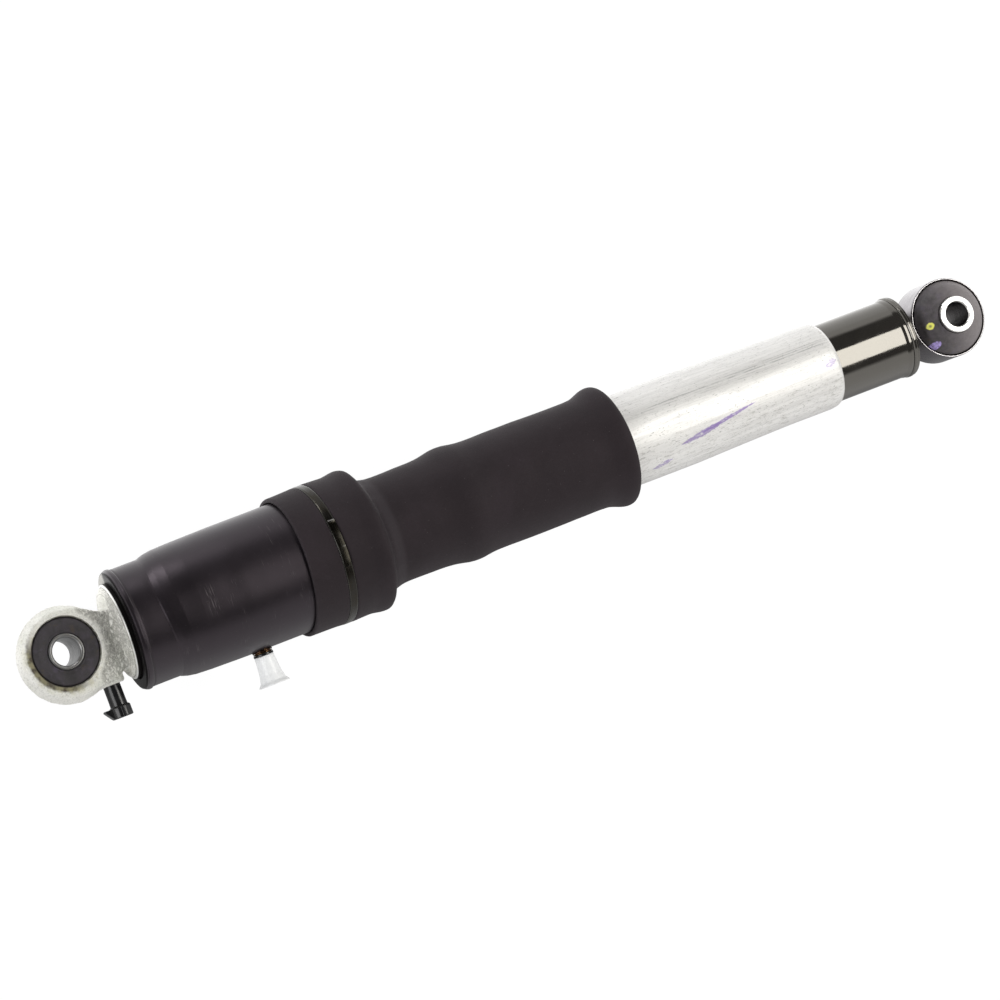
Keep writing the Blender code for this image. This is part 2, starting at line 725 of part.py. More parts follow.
def piston_plate(name, start):
    """An end plate of the piston, with a circle of round ports."""
    end = start + PLATE_T
    section = ring_section(start, end, STUD_HOLE_R, PLATE_R)
    plate = coaxial(name, section, "bright_steel", upper, HIDDEN)
    for i in range(PLATE_PORTS):
        angle = math.radians(360 / PLATE_PORTS * i + 30)
        y = PLATE_PORT_CIRCLE_R * math.cos(angle)
        z = PLATE_PORT_CIRCLE_R * math.sin(angle)
        cutter = cylinder_cutter(
            f"{name}_port_{i + 1}", PLATE_PORT_R, start - 2, end + 2, TINY, at=(0, y, z)
        )
        boolean(plate, cutter)


piston_plate("piston_upper_plate", PISTON_TOP + PISTON_GAP)
piston_plate("piston_lower_plate", CORE_END + PISTON_GAP)
coaxial(
    "piston_core",
    [
        (CORE_START, STUD_HOLE_R), (CORE_START, CORE_R), (COIL_START, CORE_R),
        (COIL_START, COIL_SEAT_R), (COIL_END, COIL_SEAT_R), (COIL_END, CORE_R),
        (CORE_END, CORE_R), (CORE_END, STUD_HOLE_R),
    ],
    "bright_steel", upper, HIDDEN,
)
coaxial(
    "piston_coil",
    ring_section(
        COIL_START + PISTON_GAP, COIL_END - PISTON_GAP, COIL_SEAT_R + GAP, CORE_R - GAP
    ),
    "copper", upper, HIDDEN,
)
coaxial(
    "piston_flux_ring",
    [
        (CORE_START, FLUX_BORE_R), (CORE_START, FLUX_R), (BAND_START, FLUX_R),
        (BAND_START, BAND_SEAT_R), (BAND_END, BAND_SEAT_R), (BAND_END, FLUX_R),
        (CORE_END, FLUX_R), (CORE_END, FLUX_BORE_R),
    ],
    "bright_steel", upper, HIDDEN,
)
coaxial(
    "piston_band",
    ring_section(BAND_START + GAP, BAND_END - GAP, BAND_SEAT_R + GAP, DAMPER_BORE_R - GAP),
    "black_plastic", upper, HIDDEN,
)
hexagon("piston_nut", 10.0, 336.0, 341.5, "zinc_steel", upper, STUD_HOLE_R)


# ---------------------------------------------------------------- lead
def rod_lead_wire():
    """The coil's lead, through the casting and along the hollow rod."""
    points = [  # (x, y)
        (CONNECTOR_X, -24.8), (CONNECTOR_X, -21.2), (23.5, -19.2),
        (LEAD_X, -17.0), (LEAD_X, -LEAD_BEND),
    ]
    for step in range(1, 5):  # a quarter turn onto the shock's axis
        angle = math.radians(22.5 * step)
        x = LEAD_X + LEAD_BEND * (1 - math.cos(angle))
        points.append((x, -LEAD_BEND + LEAD_BEND * math.sin(angle)))
    points += [(120.0, 0.0), (312.0, 0.0)]
    curve = bpy.data.curves.new("rod_lead_wire", "CURVE")
    curve.dimensions = "3D"
    curve.bevel_depth = LEAD_R * MM
    curve.bevel_resolution = 1
    curve.use_fill_caps = True
    add_line(curve, points)
    curve.materials.append(material("wire_insulation", "rod_lead_wire"))
    wire = bpy.data.objects.new("rod_lead_wire", curve)
    parts.objects.link(wire)
    put(wire, upper)


rod_lead_wire()


# ---------------------------------------------------------------- settle the shapes
def settle():
    """Replaces every piece's modifiers with the mesh they make."""
    bpy.context.view_layer.update()
    graph = bpy.context.evaluated_depsgraph_get()
    settled = {
        obj: bpy.data.meshes.new_from_object(obj.evaluated_get(graph))
        for obj in parts.objects
        if obj.type == "MESH"
    }
    for obj, mesh in settled.items():
        obj.modifiers.clear()
        mesh.name = obj.name
        obj.data = mesh
        mesh.shade_smooth()
        mesh.set_sharp_from_angle(angle=SMOOTH_ANGLE)


settle()

# The whole shock moves so that the origin is the centre of its box
upper.location = (EYE_X * MM, EYE_Y * MM, 0)
for cutter in cutters.objects:
    cutter.location.x += EYE_X * MM
    cutter.location.y += EYE_Y * MM
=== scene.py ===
# An air-levelling rear shock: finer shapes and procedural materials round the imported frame.
# It lies along X. Lengths are millimetres from the upper eye's centre unless a line says
# otherwise, with +X towards the lower eye and +Z along both bolts. The air port and the
# connector point to -Y.

import json
import math

import bmesh
import bpy
import numpy as np
from mathutils import Matrix, Vector, noise

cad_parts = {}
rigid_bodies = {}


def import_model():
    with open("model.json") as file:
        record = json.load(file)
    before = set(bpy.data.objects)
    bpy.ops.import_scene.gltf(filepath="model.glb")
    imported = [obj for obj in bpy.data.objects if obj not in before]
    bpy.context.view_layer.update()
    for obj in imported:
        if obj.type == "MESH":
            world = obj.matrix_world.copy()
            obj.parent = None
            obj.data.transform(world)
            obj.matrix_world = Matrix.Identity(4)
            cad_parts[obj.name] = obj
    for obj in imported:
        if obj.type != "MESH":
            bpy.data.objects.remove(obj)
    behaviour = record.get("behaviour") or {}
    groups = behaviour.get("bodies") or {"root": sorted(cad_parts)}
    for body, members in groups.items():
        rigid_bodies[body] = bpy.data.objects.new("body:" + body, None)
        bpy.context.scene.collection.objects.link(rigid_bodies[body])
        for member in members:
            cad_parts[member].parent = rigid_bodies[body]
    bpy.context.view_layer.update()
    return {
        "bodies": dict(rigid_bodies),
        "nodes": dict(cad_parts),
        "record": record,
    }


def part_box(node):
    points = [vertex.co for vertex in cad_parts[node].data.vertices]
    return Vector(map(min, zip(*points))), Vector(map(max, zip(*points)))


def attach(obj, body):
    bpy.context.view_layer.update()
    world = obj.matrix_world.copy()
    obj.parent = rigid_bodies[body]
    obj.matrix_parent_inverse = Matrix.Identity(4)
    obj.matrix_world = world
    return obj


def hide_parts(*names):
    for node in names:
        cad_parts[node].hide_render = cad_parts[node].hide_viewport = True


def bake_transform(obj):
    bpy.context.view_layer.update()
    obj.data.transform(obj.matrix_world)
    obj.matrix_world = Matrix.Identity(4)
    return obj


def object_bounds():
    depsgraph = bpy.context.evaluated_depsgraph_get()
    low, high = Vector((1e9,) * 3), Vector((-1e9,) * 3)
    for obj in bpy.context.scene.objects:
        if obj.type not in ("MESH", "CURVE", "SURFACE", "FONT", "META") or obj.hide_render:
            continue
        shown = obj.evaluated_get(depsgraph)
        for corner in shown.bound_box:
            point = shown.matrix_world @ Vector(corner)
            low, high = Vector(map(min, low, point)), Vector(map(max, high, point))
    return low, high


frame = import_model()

MM = 0.001

kept = set(frame["nodes"].values()) | set(frame["bodies"].values())
for left_over in list(bpy.data.objects):
    if left_over not in kept:
        bpy.data.objects.remove(left_over, do_unlink=True)

# ------------------------------------------------------------------ sizes from the CAD pieces


def centre(node):
    low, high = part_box(node)
    return (low + high) / 2


EYE = centre("upper_bush_sleeve")
LOWER_EYE = (centre("lower_bush_sleeve") - EYE).x / MM


def span(node, axis=0):
    """Where a CAD node starts and ends along an axis (0 to 2)."""
    low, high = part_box(node)
    return (low[axis] - EYE[axis]) / MM, (high[axis] - EYE[axis]) / MM


def half_width(node):
    start, end = span(node)
    return (end - start) / 2


def world_point(place):
    """A place in mm from the upper eye as a world point in metres."""
    return Vector(EYE) + Vector(place) * MM


EYE_RADIUS = -span("upper_eye_casting")[0]
EYE_HALF = span("upper_bush_rubber", 2)[1] + 0.2  # the casting's face stands just past the rubber
BUSH_RADIUS = span("upper_bush_rubber")[1]
PORT_X = sum(span("air_port_cap")) / 2
BAND_START, BAND_END = span("outer_clamp_band")
BAND_RADIUS = max(-span("outer_clamp_band", 2)[0], span("outer_clamp_band", 2)[1])
LOBE_START, LOBE_END = span("air_sleeve_fold")
CUFF = span("air_sleeve_outer")[0]  # the edge of the sleeve over the can
TUBE_START, TUBE_END = span("air_piston_tube")
DAMPER_START, DAMPER_END = span("damper_tube")
RING_RADIUS = span("lower_eye_ring")[1] - LOWER_EYE - 0.75
LOWER_SLEEVE_RADIUS = half_width("lower_bush_sleeve")

# The flange and the can's lip aren't quite square to the shock: mm towards -X for each mm
# towards +Z
SKEW = 0.070

# ------------------------------------------------------------------ outlines
# An outline is a list of (along, radius) or (along, radius, rounding).


def corner_arc(here, before, after, rounding, steps):
    """The arc that rounds a corner, or the corner itself where its sides are in line."""
    before, after = before - here, after - here
    before_length, after_length = np.linalg.norm(before), np.linalg.norm(after)
    if min(before_length, after_length) < 1e-9:
        return [tuple(here)]
    before, after = before / before_length, after / after_length
    angle = math.acos(max(-1.0, min(1.0, float(before @ after))))
    if angle > math.pi - 0.02 or angle < 0.02:
        return [tuple(here)]
    back = min(rounding / math.tan(angle / 2), 0.48 * before_length, 0.48 * after_length)
    radius = back * math.tan(angle / 2)
    middle = here + (before + after) / np.linalg.norm(before + after) * (
        radius / math.sin(angle / 2)
    )
    first = here + before * back - middle
    last = here + after * back - middle
    start = math.atan2(first[1], first[0])
    turn = math.atan2(last[1], last[0]) - start
    turn = (turn + math.pi) % (2 * math.pi) - math.pi
    angles = [start + turn * k / steps for k in range(steps + 1)]
    return [(middle[0] + radius * math.cos(a), middle[1] + radius * math.sin(a)) for a in angles]


def fillet(points, closed=True, steps=5):
    """Turns each corner that has a rounding into an arc."""
    out = []
    count = len(points)
    for i, point in enumerate(points):
        here = np.array(point[:2], float)
        rounding = point[2] if len(point) > 2 else 0.0
        is_end = not closed and i in (0, count - 1)
        if rounding <= 0 or is_end:
            out.append(tuple(here))
            continue
        before = np.array(points[i - 1][:2], float)
        after = np.array(points[(i + 1) % count][:2], float)
        out += corner_arc(here, before, after, rounding, steps)
    return out


def curve_through(points, step):
    """A smooth open line (centripetal Catmull-Rom) through the points, sampled about every step."""
    stations = [np.array(point, float) for point in points]
    count = len(stations)
    out = []
    for i in range(count - 1):
        p1, p2 = stations[i], stations[i + 1]
        p0 = stations[i - 1] if i > 0 else 2 * p1 - p2
        p3 = stations[i + 2] if i + 2 < count else 2 * p2 - p1
        t0 = 0.0
        t1 = t0 + max(np.linalg.norm(p1 - p0), 1e-6) ** 0.5
        t2 = t1 + max(np.linalg.norm(p2 - p1), 1e-6) ** 0.5
        t3 = t2 + max(np.linalg.norm(p3 - p2), 1e-6) ** 0.5
        pieces = max(1, int(math.ceil(np.linalg.norm(p2 - p1) / step)))
        for k in range(pieces):
            t = t1 + (t2 - t1) * k / pieces
            a1 = (t1 - t) / (t1 - t0) * p0 + (t - t0) / (t1 - t0) * p1
            a2 = (t2 - t) / (t2 - t1) * p1 + (t - t1) / (t2 - t1) * p2
            a3 = (t3 - t) / (t3 - t2) * p2 + (t - t2) / (t3 - t2) * p3
            b1 = (t2 - t) / (t2 - t0) * a1 + (t - t0) / (t2 - t0) * a2
            b2 = (t3 - t) / (t3 - t1) * a2 + (t - t1) / (t3 - t1) * a3
            out.append(tuple((t2 - t) / (t2 - t1) * b1 + (t - t1) / (t2 - t1) * b2))
    out.append(tuple(stations[-1]))
    return out


def densify(points, step, closed=True):
    """Splits the sides into pieces no longer than step."""
    out = []
    count = len(points)
    for i in range(count if closed else count - 1):
        a, b = np.array(points[i]), np.array(points[(i + 1) % count])
        pieces = max(1, int(math.ceil(np.linalg.norm(b - a) / step)))
        out += [tuple(a + (b - a) * k / pieces) for k in range(pieces)]
    if not closed:
        out.append(tuple(points[-1]))
    return out


def solid(points, step=None):
    """The rounded outline of a solid turned piece, whose ends are on its axis."""
    outline = fillet(points, closed=False)
    return densify(outline, step, closed=False) if step else outline


# ------------------------------------------------------------------ meshes


def shade(mesh, sharp):
    mesh.shade_smooth()
    mesh.set_sharp_from_angle(angle=math.radians(sharp))


def settle(name, points, faces, sharp=38):
    """An object from points and faces, with its faces turned outwards."""
    mesh = bpy.data.meshes.new(name)
    world = np.asarray(points, float) * MM + np.array(EYE)
    mesh.from_pydata(world.tolist(), [], faces)
    work = bmesh.new()
    work.from_mesh(mesh)
    bmesh.ops.remove_doubles(work, verts=work.verts, dist=2e-6)
    bmesh.ops.recalc_face_normals(work, faces=work.faces)
    work.to_mesh(mesh)
    work.free()
    shade(mesh, sharp)
    obj = bpy.data.objects.new(name, mesh)
    bpy.context.scene.collection.objects.link(obj)
    return obj


# How a distance along the turning axis and the two across it become x, y, z
TURNING = {
    "X": lambda along, s, c: (along, s, c),
    "Z": lambda along, s, c: (c, s, along),
    "-Y": lambda along, s, c: (c, -along, s),
}


def turned(name, outline, segments, axis="X", at=(0, 0, 0), warp=None, sharp=38):
    """A turned shape. The outline is closed, or both its ends are on the axis."""
    on_axis = outline[0][1] < 1e-9 and outline[-1][1] < 1e-9
    points, faces, rings = [], [], []
    turns = [2 * math.pi * k / segments for k in range(segments)]
    for along, radius in outline:
        if radius < 1e-9:
            rings.append([len(points)] * segments)
            circle = [(0.0, 0.0)]
        else:
            rings.append(list(range(len(points), len(points) + segments)))
            circle = [(radius * math.sin(t), radius * math.cos(t)) for t in turns]
        points += [TURNING[axis](along, s, c) for s, c in circle]
    rows = list(zip(rings, rings[1:]))
    if not on_axis:
        rows.append((rings[-1], rings[0]))
    for a, b in rows:
        for k in range(segments):
            n = (k + 1) % segments
            corners = [a[k], a[n], b[n], b[k]]
            face = [c for i, c in enumerate(corners) if c != corners[i - 1]]
            if len(set(face)) > 2:
                faces.append(face)
    points = np.array(points, float) + np.array(at, float)
    if warp is not None:
        points = warp(points)
    return settle(name, points, faces, sharp)


def cylinder(name, start, end, radius, segments, axis="X", at=(0, 0, 0)):
    outline = [(start, 0), (start, radius), (end, radius), (end, 0)]
    return turned(name, outline, segments, axis, at)


def apply_modifiers(obj):
    bpy.context.view_layer.update()
    graph = bpy.context.evaluated_depsgraph_get()
    mesh = bpy.data.meshes.new_from_object(obj.evaluated_get(graph))
    obj.modifiers.clear()
    obj.data = mesh


def cut(obj, others, operation="DIFFERENCE"):
    """Joins or cuts other shapes, which are then removed."""
    for other in others:
        before = len(obj.data.polygons)
        # the exact solver takes over where the manifold one leaves nothing or changes nothing
        for solver in ("MANIFOLD", "EXACT"):
            modifier = obj.modifiers.new("cut", "BOOLEAN")
            modifier.operation = operation
            modifier.solver = solver
            modifier.object = other
            apply_modifiers(obj)
            if len(obj.data.polygons) not in (0, before):
                break
        bpy.data.objects.remove(other, do_unlink=True)


def prism(name, outline, half, bevel):
    """A flat outline of (x, y) given depth along Z, with bevelled edges."""
    count = len(outline)
    points = [(x, y, -half) for x, y in outline] + [(x, y, half) for x, y in outline]
    faces = [list(range(count))[::-1], list(range(count, 2 * count))]
    faces += [
        [i, (i + 1) % count, count + (i + 1) % count, count + i] for i in range(count)
    ]
    obj = settle(name, points, faces, sharp=30)
    modifier = obj.modifiers.new("edge", "BEVEL")
    modifier.width = bevel * MM
    modifier.segments = 3
    modifier.limit_method = "ANGLE"
    modifier.angle_limit = math.radians(28)
    apply_modifiers(obj)
    return obj


def vertex_data(mesh, name):
    data = np.empty(len(mesh.vertices) * 3)
    mesh.vertices.foreach_get(name, data)
    return data.reshape(-1, 3)


def move_points(obj, change):
    """Moves the points of a mesh by a function of where they are."""
    mesh = obj.data
    points = change((vertex_data(mesh, "co") - np.array(EYE)) / MM)
    mesh.vertices.foreach_set("co", (points * MM + np.array(EYE)).ravel())
    mesh.update()


def ripple(points, size, amount, seed=0.0, stretch=(1, 1, 1)):
    """Noise for each point, up to about amount: size is the noise's grain."""
    out = np.empty(len(points))
    sx, sy, sz = [s / size for s in stretch]
    for i, (x, y, z) in enumerate(points):
        out[i] = noise.noise((x * sx + seed, y * sy + seed * 0.7, z * sz - seed))
    return out * amount


def off_axis(points):
    """Distance from the shock's own axis."""
    return np.hypot(points[:, 1], points[:, 2])


def radial(points, amounts):
    """Moves points away from the shock's own axis."""
    grow = 1 + amounts / np.maximum(off_axis(points), 1e-6)
    out = points.copy()
    out[:, 1] *= grow
    out[:, 2] *= grow
    return out


def around(points):
    """Angle about the shock's axis in degrees: 0 at +Z, 90 at +Y."""
    return np.degrees(np.arctan2(points[:, 1], points[:, 2]))


def bump_at(x, top, half):
    """1 at top, falling smoothly to 0 at half away."""
    t = np.clip(1 - np.abs(x - top) / half, 0, 1)
    return t * t * (3 - 2 * t)


def skewed(points):
    """Turns what lies past the neck out of square, and fades back to square along the can."""
    out = points.copy()
    x = points[:, 0]
    share = np.clip((x - 29) / 7, 0, 1) * np.clip((128 - x) / 62, 0, 1)
    out[:, 0] -= SKEW * points[:, 2] * share
    return out


# ------------------------------------------------------------------ node trees


class Value:
    """An output in a node tree. Arithmetic on it makes math nodes."""

    def __init__(self, nodes, socket):
        self.nodes = nodes
        self.socket = socket

    def __add__(self, other):
        return self.nodes.math("ADD", self, other)

    def __radd__(self, other):
        return self.nodes.math("ADD", other, self)

    def __sub__(self, other):
        return self.nodes.math("SUBTRACT", self, other)

    def __rsub__(self, other):
        return self.nodes.math("SUBTRACT", other, self)

    def __mul__(self, other):
        return self.nodes.math("MULTIPLY", self, other)

    def __truediv__(self, other):
        return self.nodes.math("DIVIDE", self, other)

    def __abs__(self):
        return self.nodes.math("ABSOLUTE", self)

    def step(self, start, end, to=(0.0, 1.0)):
        """Runs smoothly from to[0] where this is start to to[1] where it is end."""
        limits = {"From Min": start, "From Max": end, "To Min": to[0], "To Max": to[1]}
        return self.nodes.value(
            "ShaderNodeMapRange",
            {"Value": self, **limits},
            "Result",
            interpolation_type="SMOOTHSTEP",
        )

    def band(self, start, end, soft):
        """1 between start and end, with edges that fade over soft to either side."""
        rise = self.step(start - soft, start + soft)
        return rise * self.step(end - soft, end + soft, to=(1.0, 0.0))


class Nodes:
    """The node tree of a material or world. Inputs take Values, numbers or colours."""

    def __init__(self, owner):
        owner.use_nodes = True
        self.tree = owner.node_tree
        self.tree.nodes.clear()

    def feed(self, socket, value):
        if isinstance(value, Value):
            self.tree.links.new(value.socket, socket)
            return
        if isinstance(value, tuple) and len(socket.default_value) == 4 and len(value) == 3:
            value = (*value, 1.0)
        socket.default_value = value

    def add(self, kind, inputs=None, **settings):
        made = self.tree.nodes.new(kind)
        for key, setting in settings.items():
            setattr(made, key, setting)
        for key, value in (inputs or {}).items():
            self.feed(made.inputs[key], value)
        return made

    def value(self, kind, inputs=None, output=0, **settings):
        return Value(self, self.add(kind, inputs, **settings).outputs[output])

    def math(self, operation, a, b=0.0, clamp=False):
        return self.value("ShaderNodeMath", {0: a, 1: b}, operation=operation, use_clamp=clamp)

    def separate(self, vector):
        made = self.add("ShaderNodeSeparateXYZ", {0: vector})
        return [Value(self, socket) for socket in made.outputs]

    def ramp(self, value, *stops):
        """Stops are (position, colour or number)."""
        made = self.add("ShaderNodeValToRGB", {0: value})
        elements = made.color_ramp.elements
        while len(elements) < len(stops):
            elements.new(0.5)
        for element, (position, colour) in zip(elements, stops):
            element.position = position
            if not isinstance(colour, tuple):
                colour = (colour,) * 3
            element.color = (*colour, 1.0)
        return Value(self, made.outputs[0])

    def by_ray(self, other_rays, camera_rays):
        """One shader for what the camera sees and another for all other rays."""
        seen = self.value("ShaderNodeLightPath", output="Is Camera Ray")
        return self.value("ShaderNodeMixShader", {0: seen, 1: other_rays, 2: camera_rays})


class Look(Nodes):
    """A material with a single principled shader."""

    def __init__(self, name):
        self.material = bpy.data.materials.new(name)
        super().__init__(self.material)
        self.shader = self.add("ShaderNodeBsdfPrincipled")
        self.add("ShaderNodeOutputMaterial", {0: Value(self, self.shader.outputs[0])})
        self.made_place = None

    def finish(self, **values):
        """Feeds the shader, with _ for each space in an input's name."""
        for key, value in values.items():
            self.feed(self.shader.inputs[key.replace("_", " ")], value)
        return self.material

    @property
    def place(self):
        """Position in mm from the upper eye, fixed to the piece."""
        if self.made_place is None:
            coords = self.value("ShaderNodeTexCoord", output="Object")
            shift = self.value(
                "ShaderNodeVectorMath", {0: coords, 1: tuple(EYE)}, operation="SUBTRACT"
            )
            self.made_place = self.value(
                "ShaderNodeVectorMath", {0: shift, "Scale": 1 / MM}, operation="SCALE"
            )
        return self.made_place

    def moved(self, offset=(0, 0, 0), axes=(1, 1, 1)):
        """(place - offset) * axes."""
        shift = self.value(
            "ShaderNodeVectorMath", {0: self.place, 1: offset}, operation="SUBTRACT"
        )
        return self.value("ShaderNodeVectorMath", {0: shift, 1: axes}, operation="MULTIPLY")

    def split(self, vector=None):
        return self.separate(self.place if vector is None else vector)

    def join(self, x, y, z=0.0):
        return self.value("ShaderNodeCombineXYZ", {0: x, 1: y, 2: z})

    def distance(self, x, y, z=0.0):
        """The length of the vector x, y, z."""
        vector = self.join(x, y, z)
        return self.value("ShaderNodeVectorMath", {0: vector}, "Value", operation="LENGTH")

    def degrees_around(self, y, z):
        """Angle about the shock's axis: 0 at +Z, 90 at +Y."""
        return self.math("ARCTAN2", y, z) * 57.2958

    def noise(
        self, scale=1.0, detail=3, rough=0.6, offset=None, axes=None, vector=None, warp=0.0
    ):
        """Noise over vector, or over the place moved by offset and multiplied by axes."""
        if vector is None:
            vector = self.place
            if offset or axes:
                vector = self.moved(offset or (0, 0, 0), axes or (1, 1, 1))
        inputs = {"Vector": vector, "Scale": scale, "Detail": detail}
        inputs |= {"Roughness": rough, "Distortion": warp}
        return self.value("ShaderNodeTexNoise", inputs, "Fac")

    def voronoi(self, scale, vector=None):
        inputs = {"Vector": self.place if vector is None else vector, "Scale": scale}
        return self.value("ShaderNodeTexVoronoi", inputs, "Distance")

    def mix(self, share, colour, tint):
        inputs = {0: share, 6: colour, 7: tint}
        return self.value("ShaderNodeMix", inputs, 2, data_type="RGBA")

    def blend(self, share, a, b):
        """The same for plain numbers."""
        return self.value("ShaderNodeMix", {0: share, 2: a, 3: b}, data_type="FLOAT")

    def bump(self, height, distance, strength):
        """Distance is in mm."""
        inputs = {"Height": height, "Distance": distance * MM, "Strength": strength}
        return self.value("ShaderNodeBump", inputs)

    def edges(self, start, end):
        """1 on worn outer edges."""
        return self.value("ShaderNodeNewGeometry", output="Pointiness").step(start, end)


# ------------------------------------------------------------------ materials


def cast_aluminium():
    look = Look("cast_aluminium_look")
    x, y, z = look.split()
    grain = look.noise(scale=0.9, detail=4, rough=0.65)
    patches = look.noise(scale=0.09)
    colour = look.ramp(
        patches, (0.32, (0.76, 0.76, 0.70)), (0.5, (0.87, 0.86, 0.81)), (0.7, (0.93, 0.92, 0.88))
    )
    dirty = grain.step(start=0.46, end=0.72, to=(0.0, 0.42))
    colour = look.mix(dirty, colour, tint=(0.30, 0.30, 0.27))
    # the hammered skin between the eye and the flange holds dirt in its hollows
    hammered = x.band(start=14.5, end=34.0, soft=2.0) * abs(z).step(start=11.6, end=12.8)
    hammered = hammered * look.distance(x, y).step(start=22.5, end=25.0)
    hollows = look.noise(
        scale=0.46, detail=4, rough=0.66, offset=(3, 8, 0), axes=(1.25, 0.62, 0.5), warp=0.9
    )
    ridges = abs(hollows - 0.5).step(start=0.085, end=0.015)
    colour = look.mix(ridges * hammered * 0.55, colour, tint=(0.30, 0.29, 0.255))
    # darker pits of the sand-like skin
    pits = look.voronoi(scale=0.75).step(start=0.28, end=0.05)
    colour = look.mix(pits * 0.35, colour, tint=(0.16, 0.16, 0.14))
    # yellow-brown oil stain round the -X and -Y sides of the eye; angle is 0 at -X, in radians
    radius = look.distance(x, y)
    angle = look.math("ARCTAN2", y * -1.0, x * -1.0)
    ragged = radius + look.noise(scale=0.30, detail=4, rough=0.65) * 3.6
    where = ragged.band(start=20.0, end=25.6, soft=1.0) * angle.band(
        start=-0.55, end=1.75, soft=0.40
    )
    uneven = look.noise(scale=0.22, detail=4).step(start=0.22, end=0.40, to=(0.60, 1.0))
    stain = where * uneven
    colour = look.mix(stain * 0.97, colour, tint=(0.050, 0.034, 0.015))
    # thinner oil film over a wider arc
    film = radius.band(start=19.0, end=25.5, soft=2.2) * (
        angle.band(start=-0.9, end=2.6, soft=0.4)
        * look.noise(scale=0.16, offset=(9, 4, 0)).step(start=0.40, end=0.62)
    )
    colour = look.mix(film * 0.45, colour, tint=(0.50, 0.47, 0.28))
    # painted shade: a dark line in the gap where the rubber meets the bore
    bore_gap_shade = radius.step(start=21.35, end=20.95) * look.noise(scale=0.5).step(
        start=0.3, end=0.6, to=(0.55, 0.95)
    )
    colour = look.mix(bore_gap_shade, colour, tint=(0.07, 0.06, 0.045))
    greenish = look.noise(scale=0.05, detail=2, rough=0.5).step(start=0.45, end=0.75)
    colour = look.mix(greenish * 0.16, colour, tint=(0.60, 0.66, 0.50))
    # the flange's rim and its locating step are machined
    machined = (x + z * SKEW).step(start=36.1, end=36.35)
    colour = look.mix(machined, colour, tint=(0.90, 0.90, 0.87))
    rim = look.distance(0.0, y, z)
    # painted shade: dark lines in the groove under the rim and along the foot of the flange
    for at, wide, depth in ((27.9, 0.34, 0.62), (24.6, 0.30, 0.42), (26.3, 0.22, 0.28)):
        line = rim.band(at - wide, at + wide, soft=0.28) * x.step(start=31.0, end=33.0)
        broken = look.noise(scale=0.45, offset=(at, 0, 0)).step(0.32, 0.56, to=(0.3, 1.0))
        colour = look.mix(line * broken * depth, colour, tint=(0.16, 0.15, 0.13))
    # painted shade: the flange's side, in the gap to the can's lip, is coloured black with little
    # shine
    gap = rim.step(start=28.95, end=29.25) * (x + z * SKEW).step(start=36.75, end=37.15)
    colour = look.mix(gap, colour, tint=(0.008, 0.007, 0.007))
    rings = look.noise(vector=look.join(look.distance(0.0, y, z) * 3.0, 0.0))
    rough = look.blend(
        machined,
        grain.step(start=0.3, end=0.7, to=(0.46, 0.64)),
        rings.step(start=0.3, end=0.7, to=(0.24, 0.36)),
    )
    height = grain * 0.7 + look.noise(scale=3.1) * 0.45
    height = height - pits * 0.5
    height = height - ridges * hammered * 1.6
    height = look.blend(machined, height, rings * 0.06)
    return look.finish(
        Base_Color=colour,
        Metallic=look.blend(machined, 0.16, 0.80) * (1.0 - gap),
        Specular_IOR_Level=look.blend(gap, 0.5, 0.10),
        Roughness=rough,
        Normal=look.bump(height, distance=0.28, strength=0.9),
    )


# Middles of the marks on the lower bush: (x, y) from the lower eye's centre
YELLOW_DAB = (-17.5, -1.3)
PURPLE_BLOT = (-16.9, -13.8)


